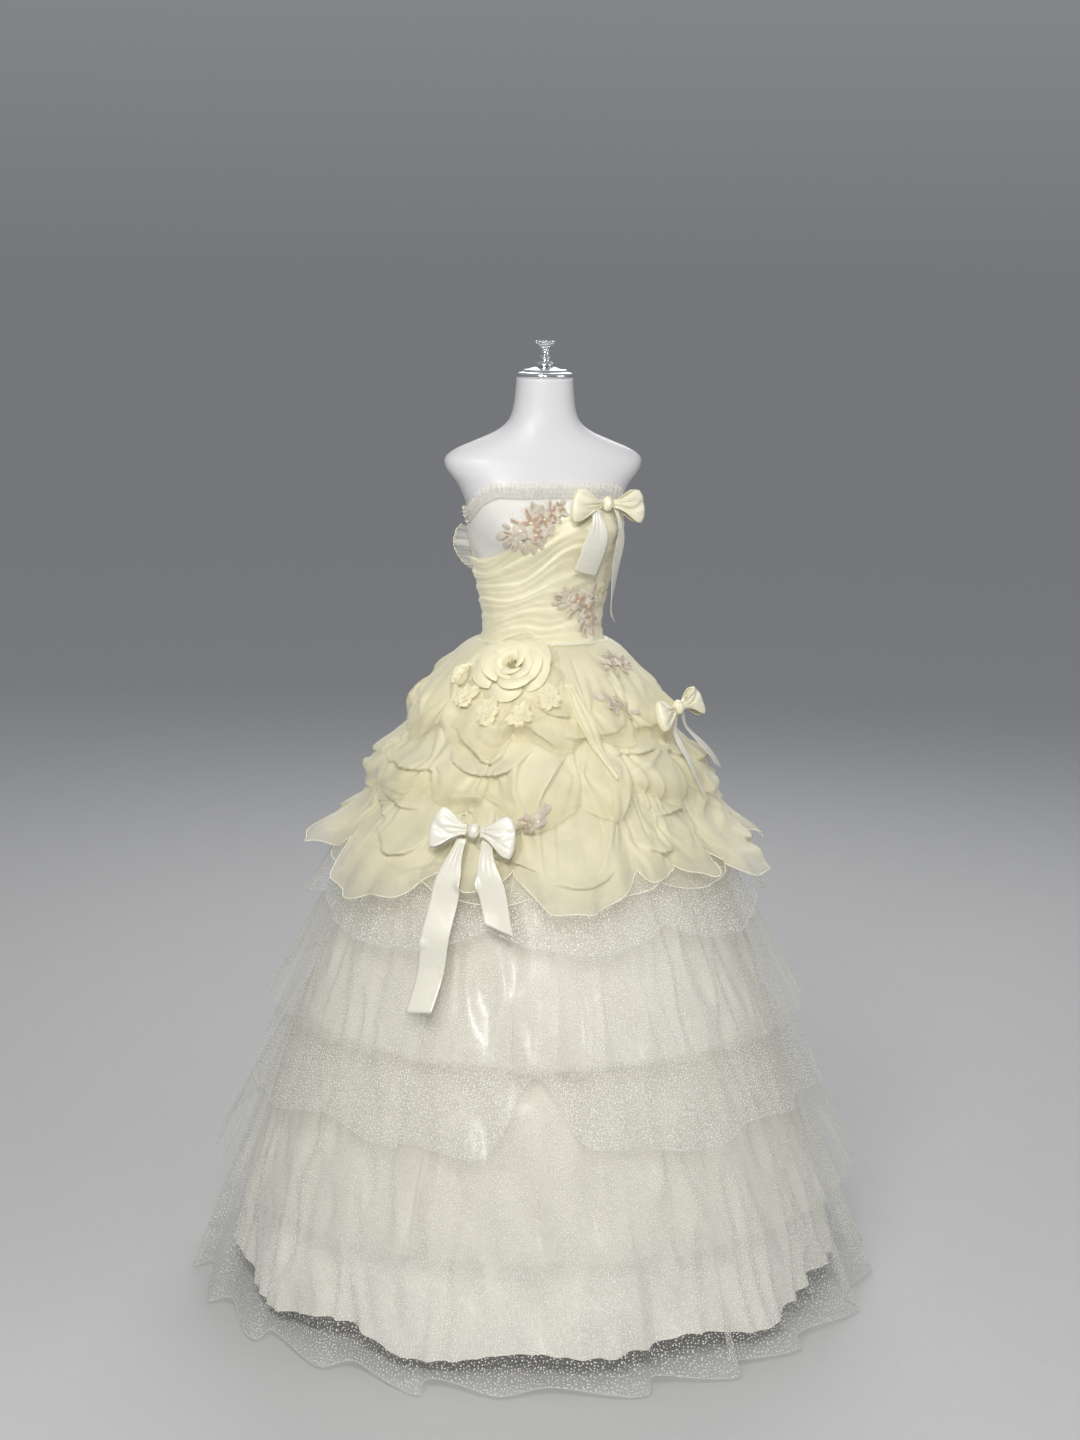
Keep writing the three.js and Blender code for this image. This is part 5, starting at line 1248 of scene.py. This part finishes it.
class GOWN_OT_bows(bpy.types.Operator):
    """Three satin bows, each with a gathered knot, two loops and two tails"""

    bl_idname = "gown.bows"
    bl_label = "Bows"

    def execute(self, context):
        for name, spec in BOWS.items():
            kind = "ribbon" if name == "lower_bow" else "yellow"
            place, _ = frame_from(knot_of(name), spec["face"], spec["pitch"], spec["tilt"])
            self.knot(name, place, kind)
            for side, word in ((-1, "left"), (1, "right")):
                self.loop(name, word, side, spec, place, kind)
        for name, spec in TAILS.items():
            self.tail(name, spec)
        return {"FINISHED"}

    def knot(self, name, place, kind):
        """A ball drawn in by the band round it, with gathers along its length."""
        turn = np.linspace(0, TURN, 49)[:-1][:, None]
        rise = np.linspace(-np.pi / 2, np.pi / 2, 25)[None]
        gather = 0.92 + 0.11 * np.abs(np.cos(3.5 * turn + 0.9 * np.sin(2 * rise))) ** 0.6 * np.cos(rise)
        s = KNOT["width"] / 2 * np.cos(rise) ** 0.7 * np.cos(turn) * gather * (1 - 0.16 * np.cos(rise) ** 4)
        h = KNOT["height"] / 2 * np.sin(rise)
        n = KNOT["depth"] / 2 * np.cos(rise) * np.sin(turn) * gather
        piece = merged(surface(name + "_tied_knot", place(s, h, n), kind))
        face_away(piece, np.array([v.co for v in piece.data.vertices]).mean(0) / MM)
        settle(piece, "yellow_satin", name + "_knot")

    def loop(self, name, word, side, spec, place, kind):
        """A band of ribbon that runs out from the knot, turns and comes back behind itself. It widens from the knot,
        folds fan out of it, and its free edges curl a little."""
        turn, k = round_grid(72, 33, -1)
        rng = np.random.default_rng(len(name) * 7 + side)
        reach = 0.5 * (1 - np.cos(turn))
        droop = 0.16 * (0.6 + 0.4 * rng.random())
        long = spec["loop"] * (1 - 0.07 * k**2 - 0.06 * k - 0.07 * k**4)
        s = side * (KNOT["width"] / 2 + SEAM_GAP + 1.4 + long * reach)
        front = np.sign(np.sin(turn)) * np.abs(np.sin(turn)) ** 0.55
        thick = 0.42 * spec["puff"] * front * (0.35 + 0.65 * reach)
        half = 0.5 * spec["width"] * (0.22 + 0.78 * smooth(reach * 1.12)) * (1 - 0.05 * smooth((reach - 0.8) / 0.2))
        phase = rng.uniform(0, TURN, 4)
        fan = np.abs(np.cos(3.9 * k + phase[0] + 0.5 * reach)) ** 0.55 - 0.55
        small = np.abs(np.cos(6 * k + phase[1])) ** 0.6 - 0.5
        near = 1 - 0.8 * smooth(reach * 1.05)
        creases = 7.0 * fan * near * smooth(reach * 5 + 0.25) + 3.0 * small * (1 - smooth(reach * 1.5))
        dent = np.abs(k * 1.1 + 0.5 * np.sin(phase[2]) - 1.6 * (reach - 0.5))
        body = 4.0 * smooth(dent / 0.4) * smooth(reach * 2) - 2.5 + 1.2 * np.cos(4 * k + 3 * reach + phase[3])
        curl = -3.0 * k**4 * smooth(reach)
        n = 1.5 * reach + thick + front * (creases * 0.8 + body * 0.7 + curl)
        h = k * half - droop * spec["width"] * reach**1.5 * (0.35 if side < 0 else 0.5) + 1.5 * np.cos(2 * turn) * k
        piece = surface(f"{name}_satin_loop_{word}", place(s, h, n), kind, True, (0, 0, 0), 0.8)
        face_away(piece, place(side * (KNOT["width"] / 2 + spec["loop"] / 2), 0.0, 0.0))
        settle(piece, "yellow_satin", f"{name}_loop_{word}")
        cut_from(piece, spec["width"] * MM)

    def tail(self, name, spec):
        """A ribbon end: gathered under the knot, then hanging over the cloth with a slow twist and a slant cut."""
        bow = BOWS[spec["bow"]]
        knot = knot_of(spec["bow"])
        drop = KNOT["height"] / 2 + 2
        top, from_b = bow["z"] + bow["above"], bow["bearing"] + bow["aside"]
        span = top - spec["z"]
        apart = spec.get("apart", 3 * np.sign(spec["bearing"] - from_b))
        start_b = from_b + apart + (spec["bearing"] - from_b) * drop / span
        v, k = span_grid(0, 1, max(40, int(span / 4)), 15, -1)
        middle = (start_b + (spec["bearing"] - start_b) * v) * DEG
        top_z = top - drop + 6
        z = top_z + (spec["z"] - top_z) * v + spec["slant"] * k * smooth((v - 0.5) * 2)
        spread = spec["width"] / 2 * (0.34 + 0.66 * smooth(v * span / 75))
        laid = cover.lay(middle, z, REACH["ribbon"])
        b = middle + k * spread / laid
        radius = np.maximum(laid, cover.lay(b, z, REACH["ribbon_edge"])) + 2.0
        close = 1 - smooth(v * span / 55)
        radius = np.maximum(radius, radius * (1 - close) + (math.hypot(knot[0], knot[1]) - 2) * close)
        rng = np.random.default_rng(sum(map(ord, name)))
        twist = 2.6 * k * np.sin(TURN * (0.7 * v * span / 190 + rng.random())) * smooth(v * 3)
        swing = 2.0 * (1 + np.sin(TURN * (v * span / 210 + rng.random()))) * smooth(v * 4)
        gathered = 1.5 * np.cos(3.6 * np.pi * k) * (1 - smooth(v * span / 60))
        points = on_axis(b, radius + twist + swing + gathered + 2, z)
        piece = settle(surface(name + "_ribbon", points, "ribbon", False, None, 0.7), "satin", name)
        cut_from(piece, spec["width"] * MM)


class GOWN_OT_lace(bpy.types.Operator):
    """Embroidered lace motifs: raised flowers, leaves, sprigs and sequins"""

    bl_idname = "gown.lace"
    bl_label = "Lace Motifs"

    def execute(self, context):
        for name, spec in MOTIFS.items():
            self.motif(name, spec)
        return {"FINISHED"}

    def motif(self, name, spec):
        """Petals are domed ovals, set in rings round flower centres and along sprigs, each over a paler and larger
        one that edges it, and all laid on the cloth."""
        rng = np.random.default_rng(sum(map(ord, name)))
        half, across, tilt = spec["half"], spec["across"], spec["tilt"] * DEG
        flowers, leaves = SPRAYS[name] if name in SPRAYS else self.spray(rng, half, across, tilt)
        rose, white, gold = range(3)
        ovals = []  # place, lean, half length, half width, height, material
        for x, y, size, pale in flowers:
            lean = rng.uniform(0, TURN)
            for p in range(5):
                a = lean + p * TURN / 5
                at = (x + 0.52 * size * math.cos(a), y + 0.52 * size * math.sin(a), a)
                ovals.append((*at, size * 0.64, size * 0.44, 0.5, white))
                ovals.append((*at, size * 0.46, size * 0.25, 1.1, white if pale else rose))
            ovals.append((x, y, 0.0, size * 0.2, size * 0.2, 2.4, gold))
        for x, y, lean, size in leaves:
            ovals.append((x, y, lean * DEG, size * 0.74, size * 0.38, 0.0, white))
            ovals.append((x, y, lean * DEG, size * 0.52, size * 0.15, 0.7, rose if rng.random() < 0.45 else white))
        middle_x, middle_y, a, length, width, lift, mark = np.array(ovals).T[:, :, None, None]
        u = np.linspace(-1, 1, 9)[None, :, None]
        w = np.linspace(-1, 1, 5)[None, None, :]
        shape = np.sqrt(np.clip(1 - np.abs(u) ** 2.2, 0, 1))
        x, y = turned(u * length + 0 * w, w * width * shape, a)
        dome = lift + 0.8 * (1 - w**2) * shape + 0.2 * np.cos(9 * u + 0 * w)
        layer = 0.22 * (np.arange(len(ovals)) % 5)[:, None, None]
        patches = self.laid(spec, middle_x + x, middle_y + y, 1.2 + dome + layer)
        settle(scattered(name + "_embroidery", patches, ("lace_rose", "lace_white", "gold"), mark.ravel()), "lace",
               name)
        count = int(half * across / 30)
        angle, share = rng.uniform(0, TURN, count), np.sqrt(rng.uniform(0, 1, count))
        x, y = turned(half * 0.9 * share * np.cos(angle), across * 0.9 * share * np.sin(angle), tilt)
        beads(name + "_sequins", self.laid(spec, x, y, 2.4), rng.uniform(0.5, 0.9, count), "lace", ("gold", "bead"),
              (rng.random(count) < 0.6).astype(int))

    def laid(self, spec, x, y, lift):
        """Points at x to the right of a motif's middle and y above it, that far off the cloth."""
        base = float(cover.lay(spec["bearing"] * DEG, spec["z"], REACH["lace_middle"]))
        b, z = spec["bearing"] * DEG + x / base, spec["z"] + y
        return on_axis(b, cover.lay(b, z, REACH["lace"]) + lift, z)

    def spray(self, rng, half, across, tilt):
        """Flowers along a small oval, with leaves that point outwards round them."""
        flowers, leaves = [], []
        count = max(2, int(half * across / 260))
        for n in range(count):
            x, y = turned(half * (-0.6 + 1.2 * (n + 0.5) / count), across * rng.uniform(-0.3, 0.3), tilt)
            flowers.append((x, y, rng.uniform(0.7, 1.0) * min(13.0, across * 0.7), rng.random() < 0.35))
        for n in range(count * 4):
            a = n * TURN / (count * 4) + rng.uniform(-0.3, 0.3)
            x, y = turned(half * 0.85 * math.cos(a), across * 0.7 * math.sin(a), tilt)
            leaves.append((x, y, math.atan2(y, x) / DEG + rng.uniform(-35, 35), rng.uniform(8, 12)))
        return flowers, leaves


class GOWN_OT_rose(bpy.types.Operator):
    """Organza rose on the hip, with its petals, hanging blossoms and sash"""

    bl_idname = "gown.rose"
    bl_label = "Rose, Blossoms and Sash"

    def execute(self, context):
        place, _ = frame_from(centre_of("rose_petals"), ROSE["face"], ROSE["pitch"])
        rng = np.random.default_rng(8)
        self.petals(place, rng, 1, "rose_petal_rings", "drape", PETAL_RINGS[:4])
        self.petals(place, rng, 2, "rose_outer_petals", "chiffon", PETAL_RINGS[4:])
        self.spiral(place)
        self.blossoms()
        self.sash()
        return {"FINISHED"}

    def petals(self, place, rng, number, name, kind, rings):
        """Petals in rings round the heart. Each is a curved wall that leans out more from ring to ring, is lower
        towards its sides, and rolls out along its edge; the widest lie nearly flat on the skirt."""
        w, t = span_grid(-1, 1, 23, 15)
        sheets = []
        for ring, (count, start, lean, tall, foot) in enumerate(rings):
            for p in range(count):
                a0 = p * TURN / count + 1.1 * (ring + 2.3 * number) + rng.uniform(-0.3, 0.3)
                span = TURN / count * rng.uniform(0.6, 0.78)
                tip = (lean + rng.uniform(-9, 9)) * DEG
                high = tall * rng.uniform(0.8, 1.15) * (1 - 0.42 * np.abs(w + rng.uniform(-0.2, 0.2)) ** 2.4)
                bend = tip + 0.6 * t + 0.25 * w * rng.uniform(-1, 1)
                roll = np.clip((t - 0.72) / 0.28, 0, 1) ** 2 * (1 - 0.5 * w**2)
                r = start + (3.2 + 0.9 * ring) * w + high * t * np.sin(bend) + 3.6 * roll
                n = foot + high * t * np.cos(bend) - 3.4 * roll
                ripple = (1.2 + 0.8 * (number == 2)) * np.cos(4.5 * w + rng.uniform(0, TURN)) * t**1.5
                a = a0 + w * span * (0.8 + 0.2 * t)
                sheets.append(place((r + ripple) * np.cos(a), (r + ripple) * np.sin(a), n + 0.6 * ripple))
        piece = settle(scattered(name, np.array(sheets), (kind,), None, True), "organza", "rose_petals")
        cut_from(piece, PETAL_WIDTH)

    def spiral(self, place):
        """The heart: a folded band wound outwards, whose radius grows with the turn and whose edge rolls out."""
        t, v = span_grid(0, 1, 160, 12)
        turn = 2.6 * TURN * t
        tall = ROSE["height"] * (1 - 0.25 * t**2) * (0.94 + 0.08 * np.cos(1.7 * turn))
        edge = 2.0 * smooth((v - 0.6) / 0.4) * (0.3 + t) + 0.7 * np.cos(2.6 * turn) * v
        r = 0.3 + 8.5 * t**0.9 + 1.2 * v * smooth(t * 4) + edge
        n = tall * (v - 0.10 * smooth((v - 0.75) / 0.25)) - 2
        points = place(r * np.cos(turn), r * np.sin(turn), n)
        piece = settle(surface("rose_spiral_band", points, "drape", False, (0, 0, 0)), "organza", "rose_spiral")
        cut_from(piece, ROSE["height"] * MM)

    def blossoms(self):
        """Five small blossoms laid on the cloth: a ring of five petals, and a smaller one turned on top of it. A
        petal narrows at both ends as a sine does, its tip is notched, and its edge lifts and curls."""
        rng = np.random.default_rng(5)
        u = np.linspace(-1, 1, 9)[None, :, None]
        t = np.linspace(0, 1, 9)[None, None, :]

        def drawn(low, high):
            return rng.uniform(low, high, 5)[:, None, None]

        for n, (bearing, level, radius) in enumerate(BLOSSOMS, 1):
            base = float(cover.lay(bearing * DEG, level, REACH["blossom"]))
            rings = []
            for size, foot, steep in BLOSSOM_RINGS:
                a = (np.arange(5)[:, None, None] + drawn(-0.13, 0.13) + 0.5 * (size < 1)) * TURN / 5 + 0.9 * n
                long = radius * size * drawn(1.15, 1.6)
                wide = long * drawn(0.36, 0.50) * np.sin(np.pi * np.clip(t * 0.84 + 0.04, 0, 1)) ** 0.8
                along = long * (0.05 + 0.95 * t) * (1 - 0.13 * t**3 * (1 - np.abs(u)) ** 2)
                x, y = turned(along, u * wide, a)
                b, z = bearing * DEG + x / base, level + y
                rise = foot + drawn(0.4, 1.4) * steep * t**1.3 + 2.2 * u**2 * t + 0.7 * np.cos(6 * u + a) * t
                rise = rise - 2.4 * smooth((t - 0.76) / 0.24)
                rings.append(on_axis(b, cover.lay(b, z, REACH["blossom"]) + rise, z))
            piece = scattered(f"blossom_{n}_petals", np.concatenate(rings), ("petal",), None, True)
            centre = on_axis(bearing * DEG, base + 6.0, level).reshape(1, 3)
            bead = beads(f"blossom_{n}_bead", centre, 1.6, "organza", ("bead",))
            settle(piece, "organza", f"blossom_{n}")
            size = area_of(piece) ** 0.5

    def sash(self):
        """A gathered strip that lies down the cloth, with long creases from its narrow top."""
        (b0, z0), (b1, z1) = SASH["start"], SASH["end"]
        v, k = span_grid(0, 1, 60, 21, -1)
        middle = (b0 + (b1 - b0) * v) * DEG
        z = z0 + (z1 - z0) * v + 4 * k * v
        half = SASH["width"] / 2 * (0.5 + 0.5 * smooth(v * 2.6)) * (1 - 0.82 * smooth((v - 0.35) / 0.65))
        b = middle + k * half / cover.lay(middle, z, REACH["sash_middle"])
        lift = 3.0 + 1.3 * np.cos(8 * k + 2 * v) * (1 - 0.8 * v) + 2 * (1 - k**2)
        points = on_axis(b, cover.lay(b, z, REACH["sash"]) + lift, z)
        cloth("sash_strip", points, "chiffon", "sash", "rose_petals", "hung", False)


class GOWN_OT_stage(bpy.types.Operator):
    """Plain pale sweep, soft studio lights and the camera"""

    bl_idname = "gown.stage"
    bl_label = "Studio"

    def execute(self, context):
        scene = context.scene
        edge = np.array([-FLOOR_HALF, FLOOR_HALF])
        points = np.stack(np.broadcast_arrays(edge[:, None], edge[None], FLOOR_Z), -1)
        surface("studio_floor", points, "floor", False, (0, 0, 1))
        world = bpy.data.worlds.new("studio_air")
        world.use_nodes = True
        tree = world.node_tree
        way = tree.nodes.new("ShaderNodeTexCoord").outputs["Generated"]
        high = node(tree, "SeparateXYZ", {"Vector": way}).outputs[2]
        air = tint(tree, ranged(tree, high, 0.0, 0.3, 0.0, 1.0), *AIR)
        tree.links.new(air, tree.nodes["Background"].inputs[0])
        scene.world = world
        scene.view_settings.view_transform = "Standard"
        for lamp in LAMPS:
            self.lamp(*lamp)
        self.camera(scene)
        scene.cycles.transparent_max_bounces = 32
        return {"FINISHED"}

    def camera(self, scene):
        """A 60 mm lens that looks at the axis from the height and distance in the sidebar."""
        sizes = scene.gown_sizes
        data = bpy.data.cameras.new("photo_camera")
        data.lens, data.sensor_width = LENS, SENSOR
        camera = bpy.data.objects.new("photo_camera", data)
        scene.collection.objects.link(camera)
        bearing, pitch, roll = (CAMERA[key] * DEG for key in ("bearing", "pitch", "roll"))
        camera.location = (sizes.camera_distance * math.sin(bearing), -sizes.camera_distance * math.cos(bearing),
                           sizes.camera_height)
        ahead = Vector((-math.sin(bearing) * math.cos(pitch), math.cos(bearing) * math.cos(pitch), -math.sin(pitch)))
        camera.rotation_mode = "QUATERNION"
        camera.rotation_quaternion = ahead.to_track_quat("-Z", "Y") @ Quaternion((0, 0, 1), roll)
        scene.camera = camera

    def lamp(self, name, place, aim, width, power, colour):
        data = bpy.data.lights.new(name, "AREA")
        data.size, data.energy, data.color = width, power, colour
        lamp = bpy.data.objects.new(name, data)
        lamp.location = place
        lamp.rotation_mode = "QUATERNION"
        lamp.rotation_quaternion = (Vector(aim) - Vector(place)).to_track_quat("-Z", "Y")
        bpy.context.scene.collection.objects.link(lamp)


STEPS = (GOWN_OT_form, GOWN_OT_skirts, GOWN_OT_overskirt, GOWN_OT_bodice, GOWN_OT_rose, GOWN_OT_lace, GOWN_OT_bows,
         GOWN_OT_stage)


class GOWN_PT_sidebar(bpy.types.Panel):
    """Colours, sizes and steps of the gown"""

    bl_idname = "GOWN_PT_sidebar"
    bl_label = "Ball Gown"
    bl_space_type = "VIEW_3D"
    bl_region_type = "UI"
    bl_category = "Ball Gown"

    def draw(self, context):
        for group in (context.scene.gown_colours, context.scene.gown_sizes):
            box = self.layout.box()
            for key in group.bl_rna.properties.keys():
                if key not in {"rna_type", "name"}:
                    box.prop(group, key)
        for step in STEPS:
            self.layout.operator(step.bl_idname)


CLASSES = (GownColours, GownSizes, *STEPS, GOWN_PT_sidebar)


def register():
    for kind in CLASSES:
        bpy.utils.register_class(kind)
    bpy.types.Scene.gown_colours = bpy.props.PointerProperty(type=GownColours)
    bpy.types.Scene.gown_sizes = bpy.props.PointerProperty(type=GownSizes)


def unregister():
    del bpy.types.Scene.gown_sizes
    del bpy.types.Scene.gown_colours
    for kind in reversed(CLASSES):
        bpy.utils.unregister_class(kind)


def main():
    register()
    for step in STEPS:
        group, name = step.bl_idname.split(".")
        getattr(getattr(bpy.ops, group), name)()


if __name__ == "__main__":
    main()
